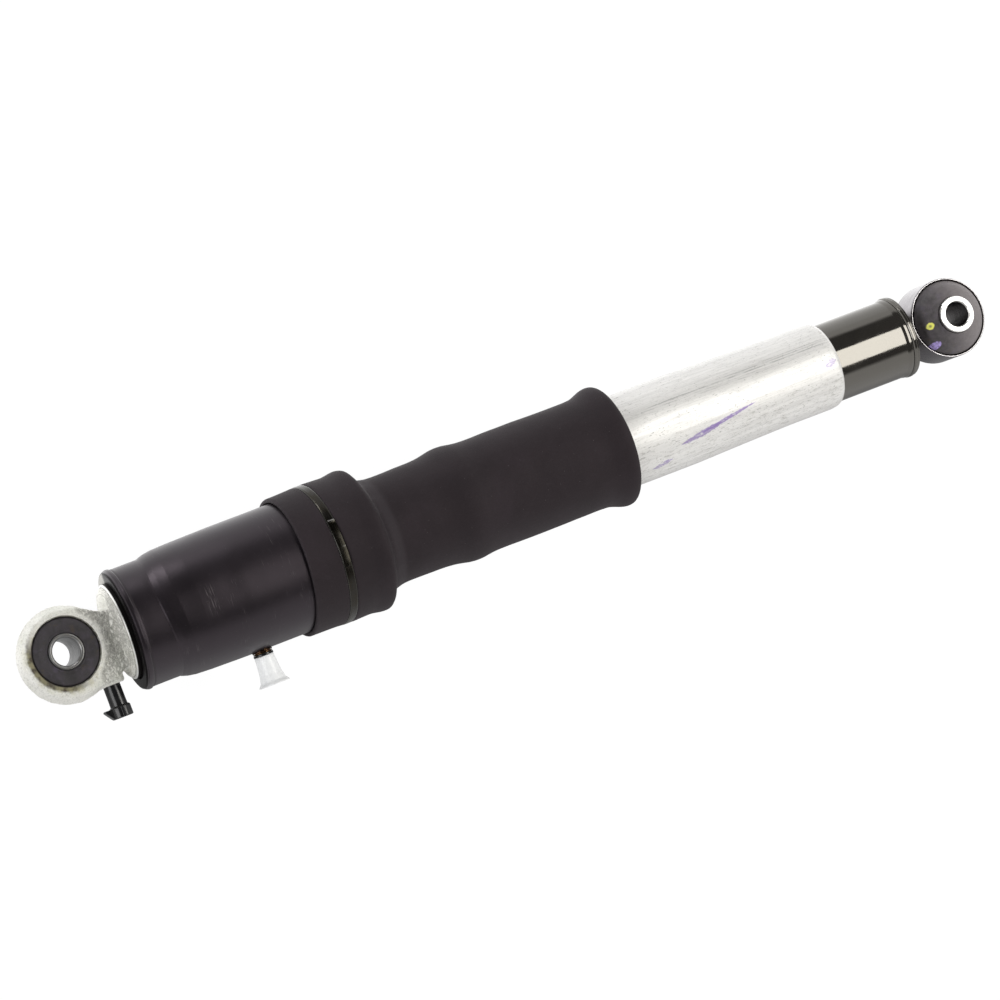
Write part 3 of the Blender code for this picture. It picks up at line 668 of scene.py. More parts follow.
def moulded_rubber(name, marked=False):
    """Matte bush rubber with smudges. The marked one is the lower bush, dusty towards +X."""
    look = Look(name)
    fine = look.noise(scale=2.2, detail=4)
    cloud = look.noise(scale=0.16, detail=4, rough=0.62, warp=0.6)
    colour = look.ramp(
        cloud,
        (0.34, (0.030, 0.027, 0.029)),
        (0.55, (0.046, 0.040, 0.046)),
        (0.75, (0.066, 0.056, 0.072)),
    )
    smudge = look.noise(scale=0.11, rough=0.55, offset=(5, 9, 3)).step(start=0.56, end=0.72)
    colour = look.mix(smudge * 0.55, colour, tint=(0.085, 0.070, 0.105))
    brown = look.noise(scale=0.19, rough=0.5, offset=(31, -7, 12)).step(start=0.60, end=0.74)
    colour = look.mix(brown * 0.5, colour, tint=(0.075, 0.055, 0.035))
    speck = look.voronoi(scale=0.9).step(start=0.16, end=0.06)
    colour = look.mix(speck * 0.22, colour, tint=(0.22, 0.21, 0.19))
    rough = cloud.step(start=0.3, end=0.7, to=(0.58, 0.74))
    if marked:
        x, y, z = look.split(look.moved(offset=(LOWER_EYE, 0.0, 0)))
        # a pale film, then dust
        share = x.step(start=-16.0, end=18.0, to=(0.10, 0.85))
        share = share + look.noise(scale=0.3, detail=5, rough=0.7) * 0.45
        share = look.math("SUBTRACT", share, 0.22, clamp=True) * 0.85
        colour = look.mix(share, colour, tint=(0.29, 0.265, 0.27))
        dust = look.noise(scale=1.3, detail=4, rough=0.8).step(start=0.56, end=0.66)
        dust = dust * x.step(start=-14.0, end=14.0, to=(0.15, 0.60))
        colour = look.mix(dust * 0.5, colour, tint=(0.34, 0.32, 0.31))
        # a dab of yellow, thin in its middle
        wobble = (look.noise(scale=0.9, detail=2, rough=0.5) - 0.5) * 1.1
        dab = look.distance(x - YELLOW_DAB[0], y - YELLOW_DAB[1]) + wobble
        front = z.step(start=5.0, end=6.0)
        yellow = dab.step(start=2.35, end=1.95) * front
        thin = dab.step(start=0.3, end=1.2, to=(0.35, 1.0))
        colour = look.mix(yellow * thin, colour, tint=(0.80, 0.80, 0.16))
        # a purple blot, wider along X than along Y
        blot = look.distance(x - PURPLE_BLOT[0], (y - PURPLE_BLOT[1]) * 1.35) + wobble * 1.2
        purple = blot.step(start=3.6, end=2.6) * front
        patchy = look.noise(scale=0.8, rough=0.7, offset=(3, 3, 3))
        patchy = patchy.step(start=0.36, end=0.60, to=(0.35, 1.0))
        colour = look.mix(purple * patchy, colour, tint=(0.46, 0.36, 0.78))
        rough = look.blend(yellow, rough, 0.35)
    height = fine * 0.6 + look.noise(scale=0.5, rough=0.5) * 0.6
    return look.finish(
        Base_Color=colour,
        Roughness=rough,
        IOR=1.45,
        Normal=look.bump(height, distance=0.10, strength=0.8),
    )


def turned_steel(name, colour, rough, middle, bore, inside, dirt):
    """Machined or drawn steel about an axis along Z at x = middle, with painted shade in its bore.
    """
    look = Look(name)
    x, y, z = look.split(look.moved(offset=(middle, 0, 0)))
    radius = look.distance(x, y)
    rings = look.noise(detail=4, vector=look.join(radius * 5.0, z * 1.6))
    cloud = look.noise(scale=0.35, detail=4)
    dirty = cloud.step(start=0.4, end=0.75, to=(0.0, dirt))
    base = look.mix(dirty, colour, tint=(0.16, 0.13, 0.10))
    base = look.mix(rings.step(start=0.42, end=0.62, to=(0.0, 0.16)), base, tint=(0.2, 0.2, 0.2))
    # painted shade in the bore: the inside colour, lighter in patches, stands for the steel within
    # the bore
    worn = look.noise(vector=look.join(x * 0.2, y * 0.2, z * 0.9))
    bore_shade = look.mix(worn.step(start=0.4, end=0.65), inside, tuple(c * 1.9 for c in inside))
    base = look.mix(radius.step(bore + 0.12, bore + 0.02), base, bore_shade)
    return look.finish(
        Base_Color=base,
        Metallic=1.0,
        Roughness=rings.step(start=0.3, end=0.7, to=(rough * 0.8, rough * 1.25)),
        Normal=look.bump(rings + cloud * 0.4, distance=0.03, strength=0.6),
    )


def satin_paint():
    look = Look("satin_black_look")
    x, y, z = look.split()
    orange_peel = look.noise(scale=0.55, rough=0.55)
    cloud = look.noise(scale=0.035, detail=4)
    colour = look.ramp(
        cloud, (0.35, (0.0066, 0.0054, 0.0066)), (0.65, (0.0104, 0.0083, 0.0102))
    )
    # dust and small rub marks
    dust = look.voronoi(scale=0.35).step(start=0.10, end=0.03)
    colour = look.mix(dust * 0.25, colour, tint=(0.14, 0.13, 0.13))
    streak = look.noise(detail=2, rough=0.5, axes=(2.4, 0.10, 0.10))
    rubbed = look.noise(scale=0.045, detail=2, rough=0.5, offset=(60, 10, 0))
    rubbed = rubbed.step(start=0.52, end=0.62) * streak.step(start=0.63, end=0.72)
    # one scuff on the +Z side
    scuff = x.band(start=83.0, end=89.0, soft=1.5)
    angle = look.degrees_around(y, z)
    scuff = scuff * angle.band(start=-15.0, end=9.0, soft=5.0)
    scuff = scuff * streak.step(start=0.54, end=0.66)
    rub = look.math("MAXIMUM", rubbed * 0.35, scuff * 0.6)
    colour = look.mix(rub, colour, tint=(0.13, 0.12, 0.12))
    colour = look.mix(look.edges(start=0.52, end=0.60) * 0.25, colour, tint=(0.10, 0.10, 0.10))
    # painted highlight: the lip's front face at its -X corner, on the +Y side, is coloured light
    # grey where it is lit
    square_x = x + z * SKEW
    across = look.distance(0.0, y, z)
    ragged = across + look.noise(scale=0.5) * 2.2
    lip_corner_highlight = angle.band(start=84.0, end=128.0, soft=7.0)
    lip_corner_highlight = lip_corner_highlight * ragged.band(start=30.0, end=36.3, soft=0.35)
    lip_corner_highlight = lip_corner_highlight * square_x.step(start=40.9, end=40.5)
    colour = look.mix(lip_corner_highlight * 0.9, colour, tint=(0.50, 0.49, 0.46))
    # painted shade along the foot of the bead
    bead_foot_shade = square_x.band(start=43.9, end=45.3, soft=0.35) * across.step(start=35.8, end=36.2)
    colour = look.mix(bead_foot_shade * 0.8, colour, tint=(0.004, 0.0035, 0.0035))
    face = square_x.step(start=40.5, end=39.9) * (1.0 - lip_corner_highlight)
    colour = look.mix(face, colour, tint=(0.0045, 0.0040, 0.0042))
    rough = cloud.step(start=0.3, end=0.7, to=(0.33, 0.39))
    height = orange_peel + look.noise(scale=1.7) * 0.35
    return look.finish(
        Base_Color=colour,
        Roughness=rough + look.math("MAXIMUM", rub, bead_foot_shade) * 0.15,
        IOR=1.5,
        Specular_IOR_Level=square_x.step(start=40.5, end=39.9, to=(0.5, 0.05)),
        Specular_Tint=(1.0, 0.85, 0.97),
        Normal=look.bump(height, distance=0.035, strength=0.7),
    )


def sleeve_rubber():
    look = Look("sleeve_rubber_look")
    x = look.split()[0]
    fine = look.noise(scale=1.9, detail=5, rough=0.7)
    # faint lengthwise ribs and rings
    cords = look.noise(rough=0.55, axes=(0.03, 0.9, 0.9))
    rings = look.noise(detail=2, rough=0.5, vector=look.join(x * 0.55, 0.0))
    cloud = look.noise(scale=0.03, detail=4, warp=0.4)
    colour = look.ramp(
        cloud,
        (0.32, (0.0108, 0.0080, 0.0092)),
        (0.52, (0.0135, 0.0100, 0.0114)),
        (0.75, (0.0178, 0.0130, 0.0158)),
    )
    powder = look.noise(scale=0.25, detail=5, rough=0.75).step(start=0.5, end=0.8)
    colour = look.mix(powder * 0.30, colour, tint=(0.026, 0.022, 0.025))
    lint = look.voronoi(scale=0.22).step(start=0.055, end=0.02)
    colour = look.mix(lint * 0.45, colour, tint=(0.16, 0.15, 0.15))
    # the collar after the step and the edges are rubbed paler
    collar = x.band(start=204.5, end=210.5, soft=2.0)
    colour = look.mix(collar * 0.40, colour, tint=(0.045, 0.040, 0.044))
    worn = look.edges(start=0.51, end=0.57)
    colour = look.mix(worn * 0.35, colour, tint=(0.045, 0.040, 0.044))
    height = fine * 0.5 + cords * 0.5
    height = height + rings * 0.35
    return look.finish(
        Base_Color=colour,
        Roughness=fine.step(start=0.3, end=0.7, to=(0.66, 0.80)),
        IOR=1.42,
        Specular_Tint=(1.0, 0.86, 0.95),
        Sheen_Weight=0.02,
        Sheen_Roughness=0.5,
        Normal=look.bump(height, distance=0.10, strength=0.8),
    )


def band_steel(name, colour, rough, dirt, worn):
    look = Look(name)
    brushed = look.noise(axes=(3.5, 0.18, 0.18))
    cloud = look.noise(scale=0.20, detail=4, rough=0.65)
    dirty = cloud.step(start=0.38, end=0.68, to=(0.0, dirt))
    base = look.mix(dirty, colour, tint=(0.035, 0.030, 0.020))
    dark = brushed.step(start=0.45, end=0.65, to=(0.0, 0.3))
    base = look.mix(dark, base, tint=(0.03, 0.03, 0.03))
    base = look.mix(look.edges(start=0.51, end=0.56) * worn, base, tint=(0.5, 0.5, 0.48))
    return look.finish(
        Base_Color=base,
        Metallic=1.0,
        Roughness=brushed.step(start=0.3, end=0.7, to=(rough * 0.75, rough * 1.3)),
        Normal=look.bump(brushed, distance=0.03, strength=0.6),
    )


# Dark lengthwise lines on the piston tube: (degrees from +Z towards +Y, x start, x end,
# half width in degrees, strength)
DRAW_LINES = (
    (27.0, 388.0, 516.0, 0.75, 0.62),
    (23.5, 384.0, 470.0, 0.5, 0.45),
    (30.5, 440.0, 517.0, 0.6, 0.50),
    (33.5, 470.0, 518.0, 0.45, 0.45),
    (20.5, 430.0, 500.0, 0.4, 0.35),
)
# Purple smears on the piston tube: (x start, x end, degrees at the start, degrees at the end,
# half width in degrees, strength, noise level at which the colour sets in)
PURPLE_SMEARS = (
    (402.0, 437.0, -31.5, -20.5, 3.9, 0.80, 0.30),
    (412.0, 459.0, -27.5, -13.0, 2.3, 0.90, 0.28),
    (382.0, 397.0, -52.0, -46.0, 3.8, 0.75, 0.38),
    (510.0, 519.0, -3.5, 1.0, 5.0, 0.60, 0.36),
)


def brushed_tube():
    look = Look("brushed_aluminium_look")
    x, y, z = look.split()
    long_fine = look.noise(detail=4, axes=(0.05, 2.6, 2.6))
    long_broad = look.noise(rough=0.55, offset=(7, 0, 0), axes=(0.012, 0.35, 0.35))
    speckle = look.noise(scale=1.3, detail=5, rough=0.8)
    cloud = look.noise(scale=0.05, detail=4, rough=0.65)
    colour = look.ramp(long_broad, (0.35, (0.80, 0.79, 0.775)), (0.6, (0.90, 0.89, 0.875)))
    brushing = long_fine.step(start=0.42, end=0.60, to=(0.0, 0.24))
    colour = look.mix(brushing, colour, tint=(0.50, 0.50, 0.49))
    # pits, scuffs and grey rub marks, more towards -Y
    angle = look.degrees_around(y, z)
    below = look.math("MAXIMUM", angle.band(start=-75, end=-16, soft=10), 0.30)
    rubs = look.noise(detail=5, rough=0.75, offset=(3, 5, 9), axes=(0.16, 0.5, 0.5))
    rubs = rubs.step(start=0.53, end=0.66) * below
    colour = look.mix(rubs * 0.50, colour, tint=(0.33, 0.32, 0.30))
    dots = look.voronoi(scale=0.42, vector=look.moved(axes=(0.55, 1, 1)))
    dots = dots.step(start=0.17, end=0.06) * cloud.step(start=0.42, end=0.60)
    colour = look.mix(dots * 0.55, colour, tint=(0.22, 0.21, 0.20))
    # fine oxide mottling all over, and small sharp scratches
    mottle = look.noise(scale=0.55, detail=5, rough=0.85, offset=(4, 4, 4), axes=(0.7, 1, 1))
    mottle = mottle.step(start=0.54, end=0.66)
    colour = look.mix(mottle * (0.18 + below * 0.32), colour, tint=(0.36, 0.345, 0.31))
    nicks = look.noise(detail=2, rough=0.5, offset=(0, 5, 2), axes=(0.35, 1.9, 1.9))
    areas = look.noise(scale=0.07, detail=2, rough=0.5, offset=(20, 5, 2))
    nicks = nicks.step(start=0.65, end=0.72) * areas.step(start=0.36, end=0.52)
    colour = look.mix(nicks * 0.75, colour, tint=(0.17, 0.16, 0.15))
    for where, start, end, wide, depth in DRAW_LINES:
        line = angle.band(where - wide, where + wide, soft=wide * 0.8)
        line = line * x.band(start, end, soft=12.0)
        broken = look.noise(offset=(where, 0, 0), axes=(0.12, 1.4, 1.4))
        broken = broken.step(start=0.36, end=0.60)
        colour = look.mix(line * broken * depth, colour, tint=(0.30, 0.30, 0.30))
    for start, end, first_angle, last_angle, wide, depth, level in PURPLE_SMEARS:
        along = (x - start) / (end - start)
        middle = along * (last_angle - first_angle) + first_angle
        off = abs(angle - middle)
        shape = along * (1.0 - along) * 4.0
        ragged = (look.noise(scale=0.5, detail=4, rough=0.7) - 0.5) * (wide * 1.3)
        width = shape * wide + ragged
        inside = (width - off).step(start=-0.4, end=0.9) * shape.step(start=0.0, end=0.15)
        patch = look.noise(detail=4, rough=0.75, offset=(11, 2, 3), axes=(0.25, 0.9, 0.9))
        patch = patch.step(level, level + 0.20)
        colour = look.mix(inside * patch * depth, colour, tint=(0.30, 0.21, 0.50))
    bright_end = x.step(TUBE_END - 2.2, TUBE_END - 0.6)
    height = long_fine * 0.8 + speckle * 0.25
    height = height - dots * 0.8
    rough = long_fine.step(start=0.3, end=0.7, to=(0.44, 0.56)) + rubs * 0.12
    return look.finish(
        Base_Color=colour,
        Metallic=0.42 - rubs * 0.25,
        Roughness=look.blend(bright_end, rough, 0.25),
        Normal=look.bump(height, distance=0.040, strength=0.9),
    )


def gloss_paint():
    look = Look("gloss_black_look")
    wavy = look.noise(scale=0.11, detail=2, rough=0.5, axes=(0.35, 1, 1))
    peel = look.noise(scale=0.8, rough=0.55)
    cloud = look.noise(scale=0.06, detail=4)
    colour = look.ramp(cloud, (0.35, (0.010, 0.0088, 0.0078)), (0.7, (0.017, 0.0150, 0.0130)))
    specks = look.voronoi(scale=0.5).step(start=0.075, end=0.03)
    colour = look.mix(specks * 0.35, colour, tint=(0.17, 0.16, 0.14))
    hair = look.noise(offset=(4, 0, 0), axes=(0.07, 2.2, 2.2))
    smear = look.noise(scale=0.08).step(start=0.4, end=0.7, to=(0.0, 0.05))
    return look.finish(
        Base_Color=colour,
        Roughness=hair.step(start=0.5, end=0.75, to=(0.085, 0.12)) + smear,
        IOR=2.15,
        Specular_Tint=(1.0, 0.955, 0.875),
        Normal=look.bump(wavy * 3.0 + peel * 0.30, distance=0.022, strength=0.7),
    )


def ring_steel():
    look = Look("bright_ring_look")
    x, y, z = look.split(look.moved(offset=(LOWER_EYE, 0, 0)))
    drawn = look.noise(vector=look.join(z * 2.8, look.math("ARCTAN2", y, x) * 2.0))
    cloud = look.noise(scale=0.12, detail=4)
    colour = look.ramp(cloud, (0.3, (0.50, 0.48, 0.49)), (0.7, (0.72, 0.70, 0.71)))
    dark = drawn.step(start=0.5, end=0.7, to=(0.0, 0.35))
    colour = look.mix(dark, colour, tint=(0.22, 0.20, 0.21))
    # painted shadow where the ring meets the base cap
    cap_shadow = x.step(start=-20.0, end=-25.5) * abs(z).step(start=13.0, end=7.0)
    colour = look.mix(cap_shadow * 0.85, colour, tint=(0.05, 0.045, 0.042))
    radius = look.distance(x, y)
    outside = radius.step(start=24.66, end=24.8)
    # painted shade and reflection: the outer side is darker towards -Y, standing for the darker
    # floor it reflects, and next to the rolled edge
    below = y.step(start=4.0, end=-16.0, to=(0.62, 0.92))
    lip = abs(z).step(start=9.5, end=12.5, to=(0.0, 0.84))
    outer_side_shade = outside * look.math("MAXIMUM", below, lip)
    colour = look.mix(outer_side_shade, colour, tint=(0.060, 0.050, 0.060))
    # painted shade: the inner edge, in the gap to the dome, is black on the damper's side and grey
    # on the far side
    inner = radius.step(start=24.25, end=24.1)
    dusty = look.mix(
        x.step(start=-6.0, end=10.0), (0.012, 0.011, 0.011), tint=(0.15, 0.14, 0.14)
    )
    colour = look.mix(inner, colour, dusty)
    return look.finish(
        Base_Color=colour,
        Metallic=0.95,
        Roughness=drawn.step(start=0.3, end=0.7, to=(0.20, 0.33)),
        Normal=look.bump(drawn + cloud, distance=0.03, strength=0.7),
    )


def plastic(name, colour, rough, mottled, **extra):
    """Extra goes to the shader."""
    look = Look(name)
    fine = look.noise(scale=2.5)
    cloud = look.noise(scale=0.3)
    lighter = tuple(min(1.0, c * 1.8 + 0.02) for c in colour)
    base = look.mix(cloud.step(start=0.4, end=0.8, to=(0.0, mottled)), colour, lighter)
    base = look.mix(look.edges(start=0.52, end=0.60) * 0.25, base, lighter)
    return look.finish(
        Base_Color=base,
        Roughness=cloud.step(start=0.3, end=0.7, to=(rough * 0.85, rough * 1.2)),
        Normal=look.bump(fine, distance=0.03, strength=0.6),
        **extra,
    )


def metal(name, colour, rough, streaks=(1, 1, 1), dirt=0.25):
    look = Look(name)
    fine = look.noise(axes=streaks)
    cloud = look.noise(scale=0.4)
    dirty = cloud.step(start=0.4, end=0.75, to=(0.0, dirt))
    return look.finish(
        Base_Color=look.mix(dirty, colour, tuple(c * 0.35 for c in colour)),
        Metallic=1.0,
        Roughness=fine.step(start=0.3, end=0.7, to=(rough * 0.8, rough * 1.25)),
        Normal=look.bump(fine, distance=0.03, strength=0.6),
    )


def dull(name, colour, rough):
    """Rubber, foam or insulation inside the shock."""
    look = Look(name)
    fine = look.noise(scale=1.6, detail=4, rough=0.65)
    cloud = look.noise(scale=0.15)
    darker = cloud.step(start=0.35, end=0.75, to=(0.0, 0.35))
    return look.finish(
        Base_Color=look.mix(darker, colour, tuple(c * 0.55 for c in colour)),
        Roughness=fine.step(start=0.3, end=0.7, to=(rough * 0.85, min(1.0, rough * 1.15))),
        Normal=look.bump(fine, distance=0.08, strength=0.7),
    )


LOOK = {
    "cast": cast_aluminium(),
    "upper_rubber": moulded_rubber("upper_bush_rubber_look"),
    "lower_rubber": moulded_rubber("lower_bush_rubber_look", marked=True),
    "upper_sleeve": turned_steel(
        "upper_sleeve_look", colour=(0.235, 0.235, 0.235), rough=0.42,
        middle=0, bore=8.35, inside=(0.12, 0.12, 0.12), dirt=0.45,
    ),
    "lower_sleeve": turned_steel(
        "lower_sleeve_look", colour=(0.90, 0.89, 0.87), rough=0.30,
        middle=LOWER_EYE, bore=7.60, inside=(0.075, 0.070, 0.070), dirt=0.08,
    ),
    "satin": satin_paint(),
    "gloss": gloss_paint(),
    "sleeve": sleeve_rubber(),
    "band": band_steel(
        "clamp_band_look", colour=(0.040, 0.037, 0.033), rough=0.28, dirt=0.60, worn=0.5
    ),
    "tail": band_steel(
        "clamp_tail_look", colour=(0.0090, 0.0075, 0.0045), rough=0.26, dirt=0.35, worn=0.06
    ),
    "tube": brushed_tube(),
    "ring": ring_steel(),
    "black_plastic": plastic(
        "black_plastic_look", colour=(0.008, 0.008, 0.009), rough=0.20, mottled=0.2
    ),
    # the emission stands for light that comes through the thin wall
    "white_plastic": plastic(
        "white_plastic_look", colour=(0.93, 0.94, 0.95), rough=0.30, mottled=0.15,
        Subsurface_Weight=0.25, Subsurface_Scale=0.004, Subsurface_Radius=(1.0, 1.0, 1.0),
        Emission_Color=(0.97, 0.99, 1.0), Emission_Strength=0.16,
    ),
    "brass": metal("brass_look", colour=(0.15, 0.085, 0.040), rough=0.22, dirt=0.8),
    "copper": metal("copper_look", colour=(0.075, 0.040, 0.026), rough=0.24, dirt=0.8),
}


def piece(obj, look, body, slot, *nodes, blend=None):
    """Gives a shape its material, its body and the CAD nodes it stands for. The slot is not used."""
    obj.data.materials.clear()
    obj.data.materials.append(LOOK[look])
    if blend:
        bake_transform(obj)
    else:
        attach(obj, body)
    if nodes:
        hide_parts(*nodes)


# ------------------------------------------------------------------ surface of a distance field


def polygon_distance(px, py, outline):
    """Signed distance to a closed outline, negative inside."""
    best = np.full(px.shape, 1e9)
    inside = np.zeros(px.shape, bool)
    for (ax, ay), (bx, by) in zip(outline, outline[1:] + outline[:1]):
        ex, ey = bx - ax, by - ay
        wx, wy = px - ax, py - ay
        t = np.clip((wx * ex + wy * ey) / (ex * ex + ey * ey), 0, 1)
        best = np.minimum(best, (wx - ex * t) ** 2 + (wy - ey * t) ** 2)
        crosses = (ay > py) != (by > py)
        at = ax + (py - ay) / (ey if abs(ey) > 1e-12 else 1e-12) * ex
        inside ^= crosses & (px < at)
    return np.where(inside, -np.sqrt(best), np.sqrt(best))


def soft_min(a, b, soft):
    h = np.clip(0.5 + 0.5 * (b - a) / soft, 0, 1)
    return b + (a - b) * h - soft * h * (1 - h)


def soft_max(a, b, soft):
    return -soft_min(-a, -b, soft)


def surface(values, low, step):
    """The closed surface where the values cross zero, with one point in each cell it crosses."""
    cells = np.array(values.shape) - 1
    total = np.zeros((*cells, 3), np.float32)
    count = np.zeros(cells, np.int8)
    negative = values < 0
    for axis in range(3):
        sides = [k for k in range(3) if k != axis]
        for corner in ((0, 0), (0, 1), (1, 0), (1, 1)):
            first, second = [None] * 3, [None] * 3
            first[axis] = slice(0, cells[axis])
            second[axis] = slice(1, cells[axis] + 1)
            for k, shift in zip(sides, corner):
                first[k] = second[k] = slice(shift, shift + cells[k])
            first, second = tuple(first), tuple(second)
            where = np.nonzero(negative[first] != negative[second])
            before, after = values[first][where], values[second][where]
            found = np.empty((len(before), 3), np.float32)
            found[:, axis] = before / (before - after)
            found[:, sides] = corner
            total[where] += found
            count[where] += 1
    has = count > 0
    index = np.full(tuple(cells), -1, np.int64)
    index[has] = np.arange(int(has.sum()))
    points = (np.argwhere(has) + total[has] / count[has][:, None]) * step + np.array(low)
    faces = []
    for axis in range(3):
        sides = [k for k in range(3) if k != axis]
        first, second = [None] * 3, [None] * 3
        first[axis], second[axis] = slice(0, cells[axis]), slice(1, cells[axis] + 1)
        for k in sides:
            first[k] = second[k] = slice(1, cells[k])
        crossed = np.argwhere(negative[tuple(first)] != negative[tuple(second)])
        crossed[:, sides] += 1
        quad = []
        for shift in ((-1, -1), (0, -1), (0, 0), (-1, 0)):
            cell = crossed.copy()
            cell[:, sides] += shift
            quad.append(index[tuple(cell.T)])
        faces.append(np.stack(quad, 1))
    return points, np.concatenate(faces)


def relax(points, faces, rounds):
    """Evens out a surface by moving points towards, then a little less away from, the mean."""
    ends = np.concatenate([faces[:, [i, (i + 1) % 4]] for i in range(4)])
    ends = np.unique(np.sort(ends, 1), axis=0)
    number = np.bincount(ends.ravel(), minlength=len(points)).astype(float)
    for turn in range(rounds):
        mean = np.zeros_like(points)
        for a, b in ((0, 1), (1, 0)):
            for k in range(3):
                mean[:, k] += np.bincount(ends[:, a], points[ends[:, b], k], minlength=len(points))
        mean /= number[:, None]
        points = points + (mean - points) * (0.5 if turn % 2 == 0 else -0.46)
    return points


# ------------------------------------------------------------------ upper eye casting

# The neck seen along Z: (x, y)
NECK = [
    (-4, 18), (8.0, 26.0), (16.5, 22.4), (22.5, 19.0), (28.0, 16.2), (38.5, 15.2),
    (38.5, -21.6), (30.6, -22.2), (27.4, -24.6), (26.0, -27.2), (-5, -28.2),
]
# The cone that widens to the flange: (x, radius)
CONE = [
    (26.0, -3.0), (30.4, 12.0), (32.6, 17.5), (33.5, 22.6), (34.4, 26.2), (35.2, 27.2),
    (40.5, 27.2), (40.5, -3.0),
]
# The distance field's grid
GRID_LOW = (-31.5, -35.5, -34.5)
GRID_SIZE = (73.0, 71.0, 69.0)
GRID_STEP = 0.55

FLANGE_RADIUS = 29.5
# The flange and the grooved plug inside the can: (x, radius, rounding)
PLUG = [
    (34.2, 0), (34.2, 22.5), (34.5, 23.6, 0.3), (34.55, 24.3, 0.15), (35.1, 24.7, 0.12),
    (35.2, 26.0, 0.2), (35.7, 27.5, 0.15), (36.45, 27.9, 0.12), (36.2, 28.3, 0.12),
    (36.4, FLANGE_RADIUS - 0.3, 0.35), (37.2, FLANGE_RADIUS, 0.3), (39.6, FLANGE_RADIUS, 0.2),
    (41.25, FLANGE_RADIUS, 0.1), (41.25, 33.9, 0.1), (42.4, 35.0, 0.3), (50.6, 35.0, 0.2),
    (50.6, 32.9, 0.2), (54.4, 32.9, 0.2), (54.4, 35.0, 0.2), (60.0, 35.0, 0.6),
    (60.0, 31.3, 0.6), (44.0, 31.3, 1.0), (44.0, 17.0, 1.0), (50.0, 17.0, 0.8), (50.0, 0),
]
# The bush's seat, open towards both faces: (z, radius, rounding)
BUSH_SEAT = [
    (-20.0, 0), (-20.0, BUSH_RADIUS + 5.6), (-EYE_HALF + 0.05, BUSH_RADIUS + 0.5, 0),
    (-EYE_HALF + 0.5, BUSH_RADIUS - 0.1, 0.2), (EYE_HALF - 0.5, BUSH_RADIUS - 0.1, 0.2),
    (EYE_HALF - 0.05, BUSH_RADIUS + 0.5, 0), (20.0, BUSH_RADIUS + 5.6), (20.0, 0),
]
CONNECTOR_X = 21.6
# The connector's seat: (distance towards -Y, radius, rounding)
CONNECTOR_SEAT = [
    (18.5, 0), (18.5, 5.4), (26.9, 5.45, 0.2), (26.9, 6.3, 0.2), (34.0, 6.7), (34.0, 0),
]


def casting_distance(x, y, z):
    # the outside of the eye isn't quite round the bush, and its parting line is at z = 5
    from_middle = np.hypot(x - 0.5, y + 1.5)
    depth = np.abs(z)
    part = z - 5.0
    flash = 0.25 * np.exp(-((part / 0.8) ** 2))
    draft = np.where(part > 0, 0.36, -0.24) * part
    side = (from_middle - (EYE_RADIUS + 0.1 - draft) - flash) * 0.95
    eye = soft_max(side, depth - EYE_HALF, 1.1)
    flat = polygon_distance(x[:, :, :1], y[:, :, :1], NECK)
    neck = soft_max(flat + 0.10 * depth - 0.6 * flash, depth - (EYE_HALF - 0.35), 1.8)
    lump = soft_min(eye, neck, 1.6)
    lump = soft_min(lump, polygon_distance(x, np.hypot(y, z), CONE), 1.5)
    # the boss that takes the connector
    boss = soft_max(np.hypot(x - 21.0, z) - 9.0, np.maximum(y + 8, -27.4 - y), 1.6)
    return soft_min(lump, boss, 2.0)


def cast_skin(points, normals):
    """Shallow waves and a coarse grain, fainter on the flat faces, and marks on the neck."""
    x, depth = points[:, 0], np.abs(points[:, 2])
    flat_face = np.clip((depth - (EYE_HALF - 0.5)) / 0.4, 0, 1)
    amount = ripple(points, 7.0, 0.30, 3.1) + ripple(points, 1.7, 0.16, 9.7)
    amount = amount + ripple(points, 0.9, 0.12, 5.3)
    # raised flow marks on the neck's broad faces
    from_eye = np.hypot(x, points[:, 1])
    rough = np.clip((from_eye - 22.5) / 2.5, 0, 1) * np.clip((x - 8) / 6, 0, 1) * (depth > 9)
    rough *= np.clip((33.5 - x) / 2, 0, 1)
    pits = np.abs(ripple(points, 1.7, 1.0, 21.0, (1.25, 0.75, 0.5)))
    pits = pits + 0.6 * np.abs(ripple(points, 0.95, 1.0, 14.0))
    amount *= 1 - 0.75 * flat_face
    amount += rough * (0.34 - pits * 1.25) * 0.62
    return points + normals * amount[:, None]


def build_casting():
    axes = [
        low + GRID_STEP * np.arange(int(math.ceil(size / GRID_STEP)) + 1)
        for low, size in zip(GRID_LOW, GRID_SIZE)
    ]
    grids = [grid.astype(np.float32) for grid in np.meshgrid(*axes, indexing="ij")]
    points, faces = surface(casting_distance(*grids), GRID_LOW, GRID_STEP)
    points = relax(points, faces, rounds=4)
    casting = settle("upper_eye_casting_body", points, faces.tolist(), sharp=180)
    normals = vertex_data(casting.data, "normal")
    move_points(casting, lambda points: cast_skin(points, normals))
    cut(casting, [turned("flange_and_plug", solid(PLUG), 220)], "UNION")
    seats = [
        turned("bush_seat", solid(BUSH_SEAT), 200, "Z"),
        turned("connector_seat", solid(CONNECTOR_SEAT), 64, "-Y", at=(CONNECTOR_X, 0, 0)),
        cylinder("rod_seat", 33.0, 52.0, radius=7.0, segments=48),
        cylinder("wire_drop", -0.6, 19.6, radius=1.7, segments=24, axis="-Y", at=(24.4, 0, 0)),
        cylinder("wire_way", 22.6, 34.5, radius=2.0, segments=24),
    ]
    cut(casting, seats)
    move_points(casting, skewed)
    shade(casting.data, 44)
    piece(casting, "cast", "upper_assembly", "cast_aluminium", "upper_eye_casting")


# ------------------------------------------------------------------ upper bush

UPPER_SLEEVE_RADIUS = half_width("upper_bush_sleeve")
UPPER_SLEEVE_HALF = span("upper_bush_sleeve", 2)[1]
